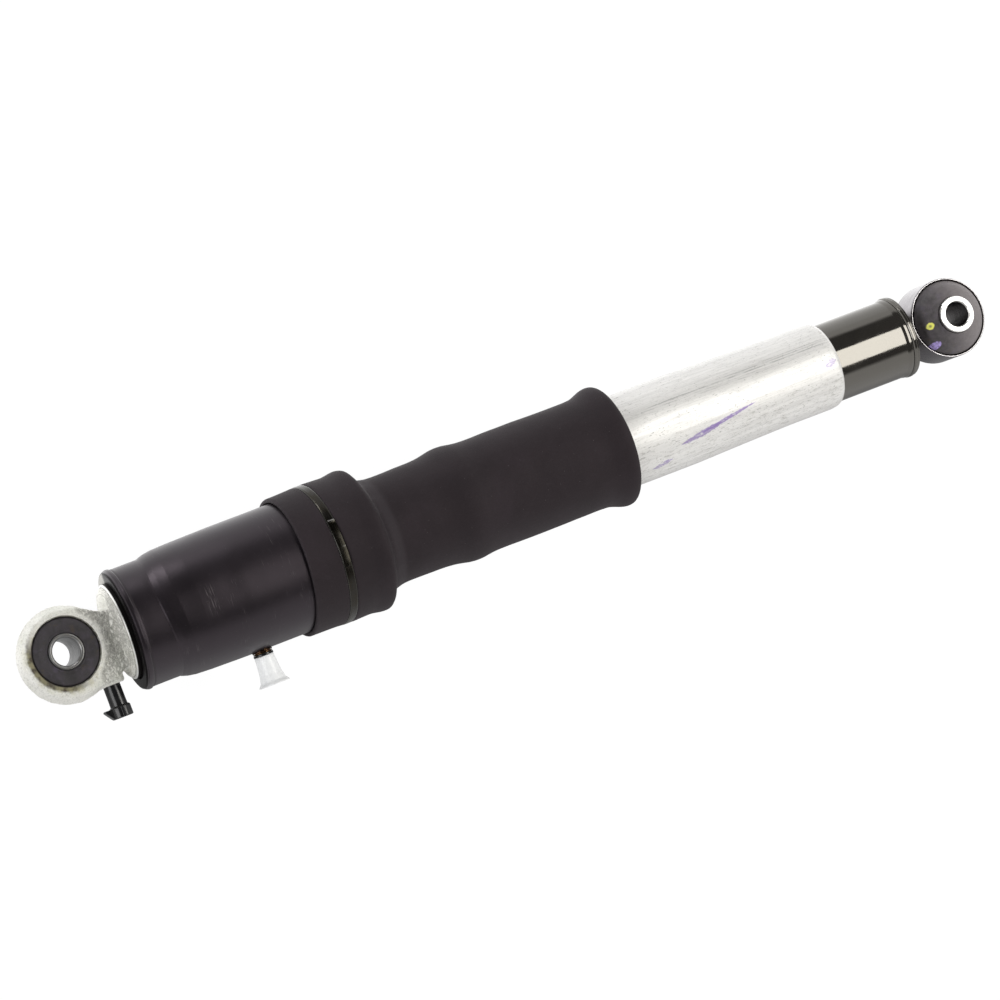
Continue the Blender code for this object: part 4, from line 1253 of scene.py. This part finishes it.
# Half outlines of rings run from the inside to the outside of the +Z face:
# (z, radius, rounding)
UPPER_RUBBER = [
    (11.5, 10.86), (13.15, 10.92, 0.15), (13.35, 11.7, 0.25), (13.05, 12.3, 0.3),
    (13.3, 13.6, 0.8), (13.62, 16.5, 2.0), (13.5, 18.4, 1.2), (13.45, 19.3, 0.3),
    (12.9, 19.9, 0.4), (12.2, BUSH_RADIUS - 0.4),
]
UPPER_SLEEVE = [
    (4.0, 8.3),
    (UPPER_SLEEVE_HALF - 1.5, 8.32),
    (UPPER_SLEEVE_HALF - 0.75, 8.45, 0.6),
    (UPPER_SLEEVE_HALF - 0.08, 9.2, 0.35),
    (UPPER_SLEEVE_HALF, 9.9, 0.15),
    (UPPER_SLEEVE_HALF - 0.05, UPPER_SLEEVE_RADIUS - 0.3, 0.2),
    (UPPER_SLEEVE_HALF - 0.5, UPPER_SLEEVE_RADIUS, 0.2),
    (4.0, UPPER_SLEEVE_RADIUS),
]


def ring_about_z(name, half_outline, segments, middle=0, warp=None):
    """A turned ring about a line along Z at x = middle, the same on both faces."""
    half = fillet(half_outline, closed=False)
    loop = densify(half + [(-along, radius) for along, radius in half[::-1]], 1.6)
    return turned(name, loop, segments, "Z", (middle, 0, 0), warp)


def bush_wear(points):
    """A small nick in the outer lip on the flange side, and slightly uneven faces."""
    out = points.copy()
    radius = np.hypot(points[:, 0], points[:, 1])
    angle = np.degrees(np.arctan2(points[:, 1], points[:, 0]))
    side = np.sign(points[:, 2])
    face = np.clip((np.abs(points[:, 2]) - 12.2) / 1.0, 0, 1)
    nick = bump_at(angle, 13.0, 4.5) * np.clip((radius - 18.4) / 1.6, 0, 1) * face
    out[:, 2] -= side * nick * 1.3
    out[:, 2] += side * face * ripple(points, 6.0, 0.22, 4.0)
    return out


def build_upper_bush():
    rubber = ring_about_z("upper_bush_rubber_ring", UPPER_RUBBER, 200, warp=bush_wear)
    piece(rubber, "upper_rubber", "upper_assembly", "bush_rubber", "upper_bush_rubber")
    sleeve = ring_about_z("upper_bush_sleeve_tube", UPPER_SLEEVE, 128)
    piece(sleeve, "upper_sleeve", "upper_bolt_sleeve", "zinc_steel", "upper_bush_sleeve")


# ------------------------------------------------------------------ connector

CONNECTOR_Y = -1.2
PIN_Z = 1.9
PLUG_END = -span("connector_housing", 1)[0]
# Outlines of the connector: (distance from CONNECTOR_Y towards -Y, radius, rounding)
HOUSING = [
    (31.0, 0), (31.0, 4.55, 0.3), (PLUG_END - 0.5, 4.75, 0.2), (PLUG_END, 5.2, 0.15),
    (PLUG_END, 6.2, 0.25), (PLUG_END - 0.6, 6.5, 0.3), (40.2, 6.5, 0.35), (39.6, 6.1, 0.2),
    (39.2, 5.3, 0.35), (36.0, 5.2), (24.6, 5.15, 0.1), (24.6, 4.2, 0.1), (22.4, 4.2, 0.1),
    (22.4, 5.15, 0.1), (19.3, 5.1, 0.3), (19.3, 3.6, 0.3), (27.0, 3.6, 0.3), (27.0, 0),
]
PIN = [(21.4, 0), (21.4, 0.6, 0.15), (41.6, 0.6, 0.3), (43.0, 0.22, 0.15), (43.05, 0)]
# Flat shapes on the collar: (x, y)
BARB = [
    (18.2, -41.1), (12.2, -41.0), (11.5, -41.8), (15.4, -47.1), (16.8, -47.4), (18.2, -47.4),
]
RIB = [(20.4, -40.8), (22.8, -40.8), (22.8, -47.3), (20.4, -47.3)]


def build_connector():
    at = (CONNECTOR_X, CONNECTOR_Y, 0)
    pin_places = [(k, (CONNECTOR_X, CONNECTOR_Y, z)) for k, z in ((1, PIN_Z), (2, -PIN_Z))]
    housing = turned("connector_housing_shell", solid(HOUSING, step=2.0), 72, "-Y", at)
    barb = prism("connector_barb", BARB, half=3.1, bevel=0.35)
    # the rib runs right across and stands out of the collar on both sides
    rib = prism("connector_rib_0", RIB, half=7.1, bevel=0.3)
    hollow = cylinder("plug_hollow", 31.0, 50.0, radius=4.75, segments=72, axis="-Y", at=at)
    cut(housing, [barb, rib], "UNION")
    cut(housing, [hollow])
    holes = [
        cylinder(f"pin_hole_{k}", 25.0, 33.0, radius=0.95, segments=24, axis="-Y", at=place)
        for k, place in pin_places
    ]
    cut(housing, holes)
    shade(housing.data, 32)
    piece(housing, "black_plastic", "upper_assembly", "black_plastic", "connector_housing")
    for k, place in pin_places:
        pin = turned(f"connector_pin_{k}_blade", solid(PIN), 20, "-Y", place)
        piece(pin, "brass", "upper_assembly", "brass", f"connector_pin_{k}")


# ------------------------------------------------------------------ can

CAN_END = span("air_can")[1]
# (x, radius, rounding)
CAN = [
    (39.45, 29.95, 0.30), (39.25, 31.0, 0.4), (39.25, 35.3, 0.5), (39.7, 36.2, 0.35),
    (40.75, 36.5, 0.15), (41.0, 36.95, 0.25), (42.3, 37.4, 0.6), (43.4, 37.35, 0.35),
    (43.95, 36.85, 0.2), (45.2, 36.6, 0.5), (63.0, 36.62, 0.25), (64.0, 37.1, 0.2),
    (67.4, 38.15, 2.2), (72.5, 38.95, 3.0), (82.0, 39.4, 6.0), (110.0, 39.9, 8.0),
    (186.0, 40.1, 5.0), (191.8, 41.3, 1.0), (CAN_END, 41.1, 0.2), (CAN_END - 0.3, 39.9, 0.2),
    (186.0, 38.8, 4.0), (110.0, 38.6, 8.0), (78.0, 38.0, 5.0), (64.0, 35.35, 0.8),
    (42.2, 35.35, 0.4), (40.9, 34.1, 0.3), (40.9, 29.95, 0.35),
]


def can_wear(points):
    """A shallow dent on the shoulder and the slight out-of-round of a drawn can."""
    angle = around(points)
    x = points[:, 0]
    dent = bump_at(x, 70.0, 12.0) * bump_at(angle, 34.0, 26.0) * -0.45
    dent += bump_at(x, 100.0, 9.0) * bump_at(angle, 8.0, 16.0) * -0.10
    wave = ripple(points, 38.0, 0.14, 2.0)
    body = np.clip((x - 47) / 6, 0, 1)
    out = radial(points, (dent + wave) * body * (off_axis(points) > 30))
    # the shoulder starts earlier on the +Z side
    out[:, 0] -= 4.6 * bump_at(angle, 22.0, 85.0) * bump_at(x, 64.5, 19.0)
    out = skewed(out)
    # the flange end leans a little towards -Y
    out[:, 1] -= 0.55 * np.clip((190 - x) / 90, 0, 1)
    return out


def build_can():
    can = turned("air_can_shell", densify(fillet(CAN), 1.1), 256, warp=can_wear)
    at = (PORT_X, 0, 0)
    cut(can, [cylinder("port_hole", 30.0, 45.0, radius=5.2, segments=48, axis="-Y", at=at)])
    shade(can.data, 40)
    piece(can, "satin", "upper_assembly", "satin_black_paint", "air_can")


# ------------------------------------------------------------------ air port
# Outlines are (distance towards -Y, radius, rounding).

# (object, look and slot, CAD node, outline)
PORT_RINGS = (
    ("air_fitting_body_turned", "brass", "air_fitting_body", [
        (34.8, 2.9, 0.1), (34.8, 4.6, 0.2), (41.3, 4.6, 0.1), (41.3, 5.75, 0.15),
        (41.6, 5.95, 0.15), (41.8, 5.95, 0.15), (42.1, 5.7, 0.15), (42.1, 4.6, 0.1),
        (42.7, 4.6, 0.2), (42.7, 2.9, 0.1),
    ]),
    ("air_fitting_washer_ring", "copper", "air_fitting_washer", [
        (40.35, 4.95, 0.1), (40.35, 6.2, 0.3), (41.15, 6.2, 0.3), (41.15, 4.95, 0.1),
    ]),
    ("air_fitting_collar_ring", "black_plastic", "air_fitting_collar", [
        (42.2, 4.95, 0.1), (42.2, 5.8, 0.1), (42.35, 6.15, 0.15), (43.5, 6.15, 0.2),
        (43.7, 5.9, 0.1), (43.7, 4.95, 0.1),
    ]),
)
CAP_END = -span("air_port_cap", 1)[0]
CAP = [
    (36.5, 0), (36.5, 2.1, 0.3), (37.2, 2.55, 0.2), (43.9, 2.55, 0.1), (43.9, 6.0, 0.25),
    (48.8, 6.25, 2), (55.2, 6.95, 3), (59.4, 7.9, 1.5), (61.0, 9.4, 0.25), (61.5, 9.7, 0.25),
    (CAP_END - 2.5, 9.6, 0.2), (CAP_END - 2.6, 8.4, 0.3), (60.3, 7.2, 0.8), (55.2, 5.9, 2),
    (46.6, 4.9, 0.8), (46.6, 0),
]


def build_port():
    at = (PORT_X, 0, 0)
    for name, look, node, outline in PORT_RINGS:
        ring = turned(name, fillet(outline, steps=3), 64, "-Y", at)
        piece(ring, look, "upper_assembly", look, node)
    cap = turned("air_port_cap_flared", solid(CAP, step=1.5), 96, "-Y", at)
    piece(cap, "white_plastic", "port_cap", "white_plastic", "air_port_cap")


# ------------------------------------------------------------------ air sleeve
# Outlines of the sleeve are (x, radius) or (x, radius, rounding).

CUFF_EDGE = [(CUFF, 41.2), (CUFF + 0.05, 42.2), (CUFF + 0.35, 42.7)]
CUFF_OUTSIDE = [
    (CUFF + 0.9, 42.95), (CUFF + 6.0, 43.0), (CUFF + 16.0, 43.2), (BAND_START - 1.2, 43.4),
]
BAND_GROOVE = [
    (BAND_START - 0.45, 43.4, 0), (BAND_START - 0.1, 43.2, 0.1), (BAND_START - 0.1, 42.1, 0.1),
    (BAND_END + 0.1, 42.1, 0.1), (BAND_END + 0.1, 43.35, 0.1), (BAND_END + 0.6, 43.62, 0),
]
# From the band over the shoulder and the long part to the rolled end
SLEEVE_OUTSIDE = [
    (BAND_END + 1.6, 43.7), (181.0, 43.45), (187.0, 43.35), (190.5, 43.85), (193.0, 44.3),
    (195.2, 44.5), (197.0, 44.35), (198.5, 43.6), (199.7, 42.0), (200.7, 40.0),
    (201.8, 38.0), (203.2, 36.3), (205.2, 35.1), (208.5, 34.1), (212.0, 33.4),
    (216.0, 33.1), (222.0, 33.05), (232.0, 33.15), (242.0, 33.4), (248.0, 33.95),
    (253.0, 34.9), (257.0, 35.75), (261.0, 36.15), (265.5, 36.05), (270.0, 35.4),
    (276.0, 34.75), (285.0, 34.6), (300.0, 34.7), (320.0, 34.65), (340.0, 34.6),
    (350.0, 34.75), (354.5, 35.15), (358.5, 36.3), (362.0, 37.6), (364.8, 38.25),
    (366.8, 38.3), (368.4, 37.9), (369.6, 36.9), (370.4, 35.4), (370.9, 33.4),
    (371.2, 31.2), (LOBE_END, 29.95),
]
FOLD_BORE = [
    (LOBE_END - 0.35, 29.5), (LOBE_END - 1.2, 29.42), (365.0, 29.4), (LOBE_START + 0.1, 29.4),
]
SLEEVE_INSIDE = [
    (LOBE_START, 29.4), (LOBE_START, 31.9, 0.2), (366.0, 32.1, 0.8), (366.8, 33.8, 0.8),
    (364.5, 35.4, 1.0), (355.0, 32.8, 2.0), (346.0, 32.3, 3.0), (276.0, 32.3, 3.0),
    (262.0, 33.7, 3.0), (250.0, 32.3, 3.0), (212.0, 31.9, 2.0), (204.6, 32.9, 1.5),
    (200.8, 35.6, 1.0), (198.2, 39.8, 0.6), (196.6, 41.6, 0.6), (191.2, 41.75, 1.0),
    (186.0, 40.6, 2.0),
]
CUFF_INSIDE = [(CUFF + 0.8, 40.45), (CUFF + 0.15, 40.7)]
BLEND_START = 211.0  # where the sleeve starts to follow the rolling lobe, handed to piece, which doesn't use the place


def sleeve_wear(points):
    """Slow out-of-round, faint pleats on the shoulder and soft waves on the long part."""
    angle = np.radians(around(points))
    x = points[:, 0]
    free = np.clip((x - 178) / 12, 0, 1) * np.clip((370 - x) / 8, 0, 1)
    outside = np.clip((off_axis(points) - 32.7) / 0.5, 0, 1)
    waves = ripple(points, 30.0, 0.42, 1.0, (0.7, 1, 1)) + ripple(points, 11.0, 0.14, 6.0)
    pleats = bump_at(x, 203.0, 12.0) * 0.10 * np.sin(angle * 22 + 2.0 * np.sin(angle * 3))
    sag = bump_at(x, 232.0, 26.0) * 0.20 * np.cos(np.radians(around(points) - 90) * 2)
    cuffs = np.clip((CUFF + 24 - x) / 6, 0, 1) * ripple(points, 14.0, 0.16, 8.0)
    lip = np.clip((4 - np.abs(x - CUFF)) / 4, 0, 1) * ripple(points, 5.0, 0.10, 2.0)
    out = radial(points, ((waves + pleats + sag) * free + cuffs + lip) * outside)
    # the cuff's edge isn't quite square
    out[:, 0] += 0.042 * points[:, 1] * np.clip((CUFF + 17 - x) / 16, 0, 1)
    return out


def build_sleeve():
    outline = CUFF_EDGE + curve_through(CUFF_OUTSIDE, step=0.8)
    outline += fillet(BAND_GROOVE, closed=False, steps=3)
    outline += curve_through(SLEEVE_OUTSIDE, step=0.8)
    outline += curve_through(FOLD_BORE, step=2.0)
    outline += fillet(SLEEVE_INSIDE, closed=False, steps=4) + CUFF_INSIDE
    sleeve = turned("air_sleeve_rubber", densify(outline, 1.4), 256, warp=sleeve_wear, sharp=50)
    piece(
        sleeve,
        "sleeve",
        ("upper_assembly", "rolling_lobe"),
        "sleeve_rubber",
        "air_sleeve_outer",
        "air_sleeve_fold",
        blend=(world_point((BLEND_START, 0, 0)), world_point((LOBE_END, 0, 0))),
    )


# ------------------------------------------------------------------ clamp band

# (x, radius, rounding)
BAND = [
    (BAND_START + 0.1, 42.35, 0.15), (BAND_START + 0.1, BAND_RADIUS - 0.25, 0.25),
    (BAND_START + 0.9, BAND_RADIUS, 0.3), (BAND_END - 0.9, BAND_RADIUS, 0.3),
    (BAND_END - 0.1, BAND_RADIUS - 0.25, 0.25), (BAND_END - 0.1, 42.35, 0.15),
]
TAIL_ANGLES = (-16.0, 22.0)  # degrees from +Z towards +Y


def band_wear(points):
    return radial(points, ripple(points, 16.0, 0.12, 3.0) * (off_axis(points) > 43))


def wrapped_strip(name, ends, angles, radii, rounding, cell, shape=None):
    """A strip round the shock between two x, two angles and two radii, in cells of cell degrees."""
    (start, end), (first, last), (inner, outer) = ends, angles, radii
    count = max(4, int(abs(last - first) / cell))
    section = fillet(
        [
            (start, inner, rounding * 0.5),
            (start, outer, rounding),
            (end, outer, rounding),
            (end, inner, rounding * 0.5),
        ],
        steps=3,
    )
    points, faces = [], []
    n = len(section)
    for k in range(count + 1):
        angle = math.radians(first + (last - first) * k / count)
        for along, radius in section:
            if shape is not None:
                along, radius = shape(k / count, along, radius)
            points.append((along, radius * math.sin(angle), radius * math.cos(angle)))
    for k in range(count):
        for i in range(n):
            j = (i + 1) % n
            faces.append([k * n + i, k * n + j, (k + 1) * n + j, (k + 1) * n + i])
    faces.append(list(range(n)))
    faces.append(list(range(count * n, (count + 1) * n))[::-1])
    return settle(name, points, faces, 35)


def tail_shape(share, along, radius):
    """The tail narrows to a tongue at its -Y end and lifts over a small step at its +Y end."""
    middle = (BAND_START + BAND_END) / 2
    narrow = 1.0 - 0.30 * max(0.0, (0.10 - share) / 0.10)
    lift = 0.45 * max(0.0, (share - 0.95) / 0.05)
    return middle + (along - middle) * narrow, radius + lift


def build_clamp_band():
    outline = densify(fillet(BAND, steps=3), 1.0)
    band = turned("outer_clamp_band_strip", outline, 256, warp=band_wear)
    piece(band, "band", "upper_assembly", "clamp_steel", "outer_clamp_band")
    tail = wrapped_strip(
        "outer_clamp_band_tail",
        ends=(BAND_START + 0.35, BAND_END - 0.35),
        angles=TAIL_ANGLES,
        radii=(BAND_RADIUS + 0.08, BAND_RADIUS + 0.62),
        rounding=0.18,
        cell=0.8,
        shape=tail_shape,
    )
    piece(tail, "tail", "upper_assembly", "clamp_steel")
    tooth = wrapped_strip(
        "outer_clamp_band_tooth",
        ends=(BAND_START + 0.9, BAND_END - 0.8),
        angles=(TAIL_ANGLES[1] - 0.4, TAIL_ANGLES[1] + 0.9),
        radii=(BAND_RADIUS + 0.1, BAND_RADIUS + 0.95),
        rounding=0.15,
        cell=0.3,
    )
    piece(tooth, "lower_sleeve", "upper_assembly", "clamp_steel")


# ------------------------------------------------------------------ piston tube and damper
# Outlines are (x, radius, rounding).

TUBE = [
    (TUBE_START, 28.3, 0.3), (TUBE_START + 0.8, 29.1, 0.3), (418.5, 29.1, 30.0),
    (445.0, 28.35, 25.0), (473.5, 27.72, 20.0), (486.0, 27.5, 12.0), (515.5, 27.5, 3.0),
    (519.2, 27.05, 1.5), (TUBE_END - 0.25, 26.25, 0.5), (TUBE_END, 25.75, 0.15),
    (TUBE_END - 0.1, 25.4, 0.15), (480.0, 25.35), (420.0, 27.1), (TUBE_START, 27.1, 0.3),
]
DAMPER = [
    (DAMPER_START, 18.5, 0.2), (DAMPER_START, 23.6, 0.3), (255.2, 25.0, 0.5),
    (261.9, 25.0, 0.15), (261.9, 24.1, 0.15), (263.7, 24.1, 0.15), (263.7, 25.0, 0.15),
    (560.0, 25.0), (568.6, 25.0, 3.0), (570.6, 25.45, 0.8), (DAMPER_END - 0.4, 25.6, 0.5),
    (DAMPER_END, 25.2, 0.3), (DAMPER_END, 22.9, 0.2), (256.3, 22.9, 0.3), (256.3, 18.5, 0.2),
]
BASE_CAP = [
    (566.5, 0), (566.5, 22.4, 0.3), (DAMPER_END + 0.15, 22.4, 0.1),
    (DAMPER_END + 0.2, 25.3, 0.3), (573.5, 26.15, 0.5), (574.9, 26.2, 0.4),
    (575.4, 25.65, 0.15), (575.8, 25.65, 0.15), (576.4, 25.9, 0.3), (576.9, 24.6, 0.4),
    (577.3, 21.5, 0.8), (578.6, 15.5, 1.2), (581.0, 12.6, 1.5), (587.0, 12.0, 1.0), (589.0, 0),
]


def tube_wear(points):
    marks = ripple(points, 45.0, 0.07, 2.0, (0.5, 1, 1))
    marks = marks + ripple(points, 9.0, 0.018, 7.0, (0.25, 1, 1))
    return radial(points, marks * (off_axis(points) > 27.2))


def base_wear(points):
    """A slightly uneven bead."""
    uneven = ripple(points, 2.6, 0.22, 5.0, (0.3, 1, 1))
    return radial(points, uneven * bump_at(points[:, 0], 574.6, 1.8))


def build_tubes():
    outline = densify(fillet(TUBE, steps=8), 1.6)
    tube = turned("air_piston_tube_drawn", outline, 256, warp=tube_wear)
    piece(tube, "tube", "air_piston", "brushed_aluminium", "air_piston_tube")
    damper = turned("damper_tube_painted", densify(fillet(DAMPER), 3.0), 200)
    piece(damper, "gloss", "damper", "gloss_black_paint", "damper_tube")
    base = turned("base_cap_pressed", solid(BASE_CAP, step=1.0), 200, warp=base_wear)
    at = (LOWER_EYE, 0, 0)
    saddle = cylinder("ring_saddle", -30.0, 30.0, RING_RADIUS + 0.12, 240, axis="Z", at=at)
    cut(base, [saddle])
    shade(base.data, 36)
    piece(base, "gloss", "damper", "gloss_black_paint", "base_cap")


# ------------------------------------------------------------------ lower eye
# Half outlines of the +Z face: (z, radius, rounding).

RING_HALF = span("lower_eye_ring", 2)[1]
RING_BORE = 23.45
RING = [
    (4.0, RING_BORE),
    (RING_HALF - 1.6, RING_BORE, 0.3),
    (RING_HALF - 0.9, RING_BORE + 0.6, 0.2),
    (RING_HALF - 0.1, RING_BORE + 0.85, 0.15),
    (RING_HALF, RING_BORE + 1.0, 0.1),
    (RING_HALF, RING_RADIUS - 0.4, 0.2),
    (RING_HALF - 0.5, RING_RADIUS, 0.35),
    (4.0, RING_RADIUS),
]
DOME = [
    (24.7, LOWER_SLEEVE_RADIUS + 0.12), (25.1, LOWER_SLEEVE_RADIUS + 0.7),
    (24.6, LOWER_SLEEVE_RADIUS + 1.7), (23.4, 14.8), (21.4, 17.8), (19.0, 20.3),
    (16.6, 21.7), (15.0, 22.5), (14.2, 22.95), (13.6, 23.25), (12.9, 23.35),
]
LOWER_SLEEVE_HALF = span("lower_bush_sleeve", 2)[1]
LOWER_SLEEVE = [
    (4.0, 7.55),
    (LOWER_SLEEVE_HALF - 0.9, 7.55, 0.2),
    (LOWER_SLEEVE_HALF - 0.15, 8.1, 0.3),
    (LOWER_SLEEVE_HALF, 8.5, 0.15),
    (LOWER_SLEEVE_HALF, LOWER_SLEEVE_RADIUS - 0.65, 0.2),
    (LOWER_SLEEVE_HALF - 0.55, LOWER_SLEEVE_RADIUS - 0.05, 0.3),
    (4.0, LOWER_SLEEVE_RADIUS),
]


def dome_wear(points):
    out = points.copy()
    face = np.clip((np.abs(points[:, 2]) - 13.0) / 1.5, 0, 1)
    uneven = ripple(points, 7.0, 0.28, 4.0) + ripple(points, 2.2, 0.07, 1.0)
    out[:, 2] += np.sign(points[:, 2]) * face * uneven
    return out


def build_lower_eye():
    ring = ring_about_z("lower_eye_ring_rolled", RING, 256, LOWER_EYE)
    piece(ring, "ring", "damper", "bright_steel", "lower_eye_ring")
    half = [(12.0, LOWER_SLEEVE_RADIUS + 0.12)] + curve_through(DOME, step=0.5) + [(12.0, 23.35)]
    half = densify(half, 1.5, closed=False)
    loop = densify(half + [(-along, radius) for along, radius in half[::-1]], 2.0)
    at = (LOWER_EYE, 0, 0)
    rubber = turned("lower_bush_rubber_dome", loop, 220, "Z", at, dome_wear, sharp=50)
    piece(rubber, "lower_rubber", "damper", "bush_rubber", "lower_bush_rubber")
    sleeve = ring_about_z("lower_bush_sleeve_tube", LOWER_SLEEVE, 128, LOWER_EYE)
    piece(sleeve, "lower_sleeve", "lower_bolt_sleeve", "bright_steel", "lower_bush_sleeve")


# ------------------------------------------------------------------ pieces that keep their CAD shape


def inside_looks():
    """The material for each slot. Streaks are noise scales along X, Y and Z."""
    return {
        "cast_aluminium": metal(
            "machined_aluminium_look", (0.72, 0.73, 0.72), rough=0.30, streaks=(2.0, 0.2, 0.2)
        ),
        "zinc_steel": metal(
            "zinc_plate_look", (0.62, 0.62, 0.58), rough=0.30, streaks=(0.5, 0.5, 0.5), dirt=0.35
        ),
        "bright_steel": metal(
            "turned_steel_look", (0.66, 0.66, 0.67), rough=0.24, streaks=(3.0, 0.2, 0.2)
        ),
        "hard_chrome": metal(
            "chromed_rod_look", (0.80, 0.80, 0.82), rough=0.07, streaks=(1.5, 0.1, 0.1), dirt=0.05
        ),
        "clamp_steel": metal(
            "crimp_ring_look", (0.45, 0.45, 0.45), rough=0.35, streaks=(2.0, 0.3, 0.3)
        ),
        "brass": LOOK["brass"],
        "copper": LOOK["copper"],
        "black_plastic": LOOK["black_plastic"],
        "sleeve_rubber": LOOK["sleeve"],
        "o_ring_rubber": dull("o_ring_look", (0.020, 0.020, 0.021), rough=0.45),
        "urethane": dull("urethane_look", (0.72, 0.62, 0.36), rough=0.70),
        "wire_insulation": dull("lead_insulation_look", (0.42, 0.03, 0.02), rough=0.45),
    }


def dress_inside():
    looks = inside_looks()
    slots = {entry["node"]: entry["material_slot"] for entry in frame["record"]["subparts"]}
    for node, obj in frame["nodes"].items():
        if obj.hide_render:
            continue
        if not obj.material_slots:
            obj.data.materials.append(None)
        for material_slot in obj.material_slots:
            material_slot.material = looks[slots[node]]


# ------------------------------------------------------------------ floor

FLOOR_GAP = 0.0004  # metres below the lowest point
FLOOR_HALF = 30.0  # metres
# Light the paper gives off across the shock, stronger on its +Y side: (world y in metres, strength)
FLOOR_GLOW = (
    (-0.42, 0.86), (-0.172, 0.82), (-0.120, 0.78), (-0.095, 0.70), (-0.066, 0.52),
    (-0.045, 0.36), (-0.015, 0.36), (0.045, 1.75), (0.064, 1.70), (0.080, 1.42),
    (0.099, 1.32), (0.131, 1.18), (0.192, 1.08), (0.42, 1.00),
)


def floor_paper():
    """Nearly plain white to the camera; other rays meet the uneven glow."""
    paper = bpy.data.materials.new("floor_paper")
    nodes = Nodes(paper)
    flat = nodes.value("ShaderNodeBsdfDiffuse", {"Color": (0.92, 0.92, 0.92)})
    seen = nodes.value("ShaderNodeEmission", {"Color": (1, 1, 1), "Strength": 1.05})
    y = nodes.separate(nodes.value("ShaderNodeNewGeometry", output="Position"))[1]
    limits = {"From Min": -0.5, "From Max": 0.5, "To Min": 0.0, "To Max": 1.0}
    across = nodes.value("ShaderNodeMapRange", {"Value": y, **limits}, "Result")
    # the ramp holds half the strength, so that it stays below 1
    glow = nodes.ramp(across, *[(at + 0.5, strength / 2) for at, strength in FLOOR_GLOW])
    bounce = nodes.value("ShaderNodeEmission", {"Strength": glow * 2.0})
    for_camera = nodes.value("ShaderNodeMixShader", {0: 0.075, 1: seen, 2: flat})
    nodes.add("ShaderNodeOutputMaterial", {0: nodes.by_ray(bounce, for_camera)})
    return paper


def build_floor():
    low_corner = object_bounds()[0]
    mesh = bpy.data.meshes.new("floor")
    work = bmesh.new()
    bmesh.ops.create_grid(work, x_segments=8, y_segments=8, size=FLOOR_HALF)
    work.to_mesh(mesh)
    work.free()
    floor = bpy.data.objects.new("floor", mesh)
    floor.location.z = low_corner.z - FLOOR_GAP
    bpy.context.scene.collection.objects.link(floor)
    mesh.materials.append(floor_paper())


# ------------------------------------------------------------------ light and camera

TENT, OPENING = 0.86, 0.08  # strengths


def build_world():
    """A white tent all round with a dark opening overhead, where the key softbox hangs."""
    world = bpy.data.worlds.new("studio")
    bpy.context.scene.world = world
    nodes = Nodes(world)
    _, y, z = nodes.separate(nodes.value("ShaderNodeTexCoord", output="Generated"))
    # the opening leans by 0.16 towards +Y
    lean = nodes.value("ShaderNodeMath", {0: y, 1: 0.16, 2: z}, operation="MULTIPLY_ADD")
    tent = lean.step(start=0.385, end=0.55, to=(TENT, OPENING))
    rear = y.step(start=-0.2, end=0.6, to=(1.0, 1.04))
    inputs = {"Color": (1.0, 0.995, 0.985), "Strength": tent * rear}
    lit = nodes.value("ShaderNodeBackground", inputs)
    plain = nodes.value("ShaderNodeBackground", {"Color": (1, 1, 1), "Strength": 1.0})
    nodes.add("ShaderNodeOutputWorld", {0: nodes.by_ray(lit, plain)})


def softbox(name, place, target, width, height, power, colour=(1, 1, 1)):
    """An area light at place, facing target, with its width along the shock."""
    data = bpy.data.lights.new(name, "AREA")
    data.shape = "RECTANGLE"
    data.size, data.size_y = width * MM, height * MM
    data.energy = power
    data.color = colour
    lamp = bpy.data.objects.new(name, data)
    bpy.context.scene.collection.objects.link(lamp)
    lamp.location = world_point(place)
    z = -(world_point(target) - lamp.location).normalized()
    x = Vector((0, 1, 0)).cross(z).normalized()
    y = z.cross(x)
    lamp.rotation_mode = "QUATERNION"
    lamp.rotation_quaternion = Matrix((x, y, z)).transposed().to_quaternion()


def build_lights():
    softbox(
        "key_softbox", place=(1290, -72, 1500), target=(1290, -72, 0),
        width=930, height=1360, power=22.6, colour=(1.0, 0.985, 0.94),
    )
    softbox(
        "patch_light", place=(20, 1450, 390), target=(70, 25, 28),
        width=330, height=330, power=4.2,
    )
    # a fill from the upper eye's side, too far round to glint on the tubes
    softbox(
        "side_fill", place=(-1250, 0, 900), target=(40, 0, 0),
        width=900, height=900, power=9.0,
    )


# The camera's axes in the world, and the upper eye's place along them
CAMERA_RIGHT = Vector((0.87764031, -0.35606081, 0.32088656))
CAMERA_UP = Vector((0.33339121, 0.93445869, 0.12504903))
CAMERA_BACK = Vector((-0.34438029, -0.00276731, 0.93882616))
EYE_FROM_CAMERA = Vector((-256.339, -89.763, -2685.624))


def build_camera():
    data = bpy.data.cameras.new("camera")
    camera = bpy.data.objects.new("camera", data)
    bpy.context.scene.collection.objects.link(camera)
    bpy.context.scene.camera = camera
    data.sensor_width = 36.0
    data.sensor_fit = "HORIZONTAL"
    data.lens = 165.6
    data.clip_start, data.clip_end = 0.1, 100.0
    right, up, back = CAMERA_RIGHT, CAMERA_UP, CAMERA_BACK
    shift = EYE_FROM_CAMERA
    stand = -(right * shift.x + up * shift.y + back * shift.z) * MM
    pose = Matrix((right, up, back)).transposed().to_4x4()
    pose.translation = Vector(EYE) + stand
    camera.matrix_world = pose


build_casting()
build_upper_bush()
build_connector()
build_can()
build_port()
build_sleeve()
build_clamp_band()
build_tubes()
build_lower_eye()
dress_inside()
build_floor()
build_world()
build_lights()
build_camera()

bpy.context.scene.view_settings.view_transform = "Standard"
bpy.context.scene.view_settings.look = "None"
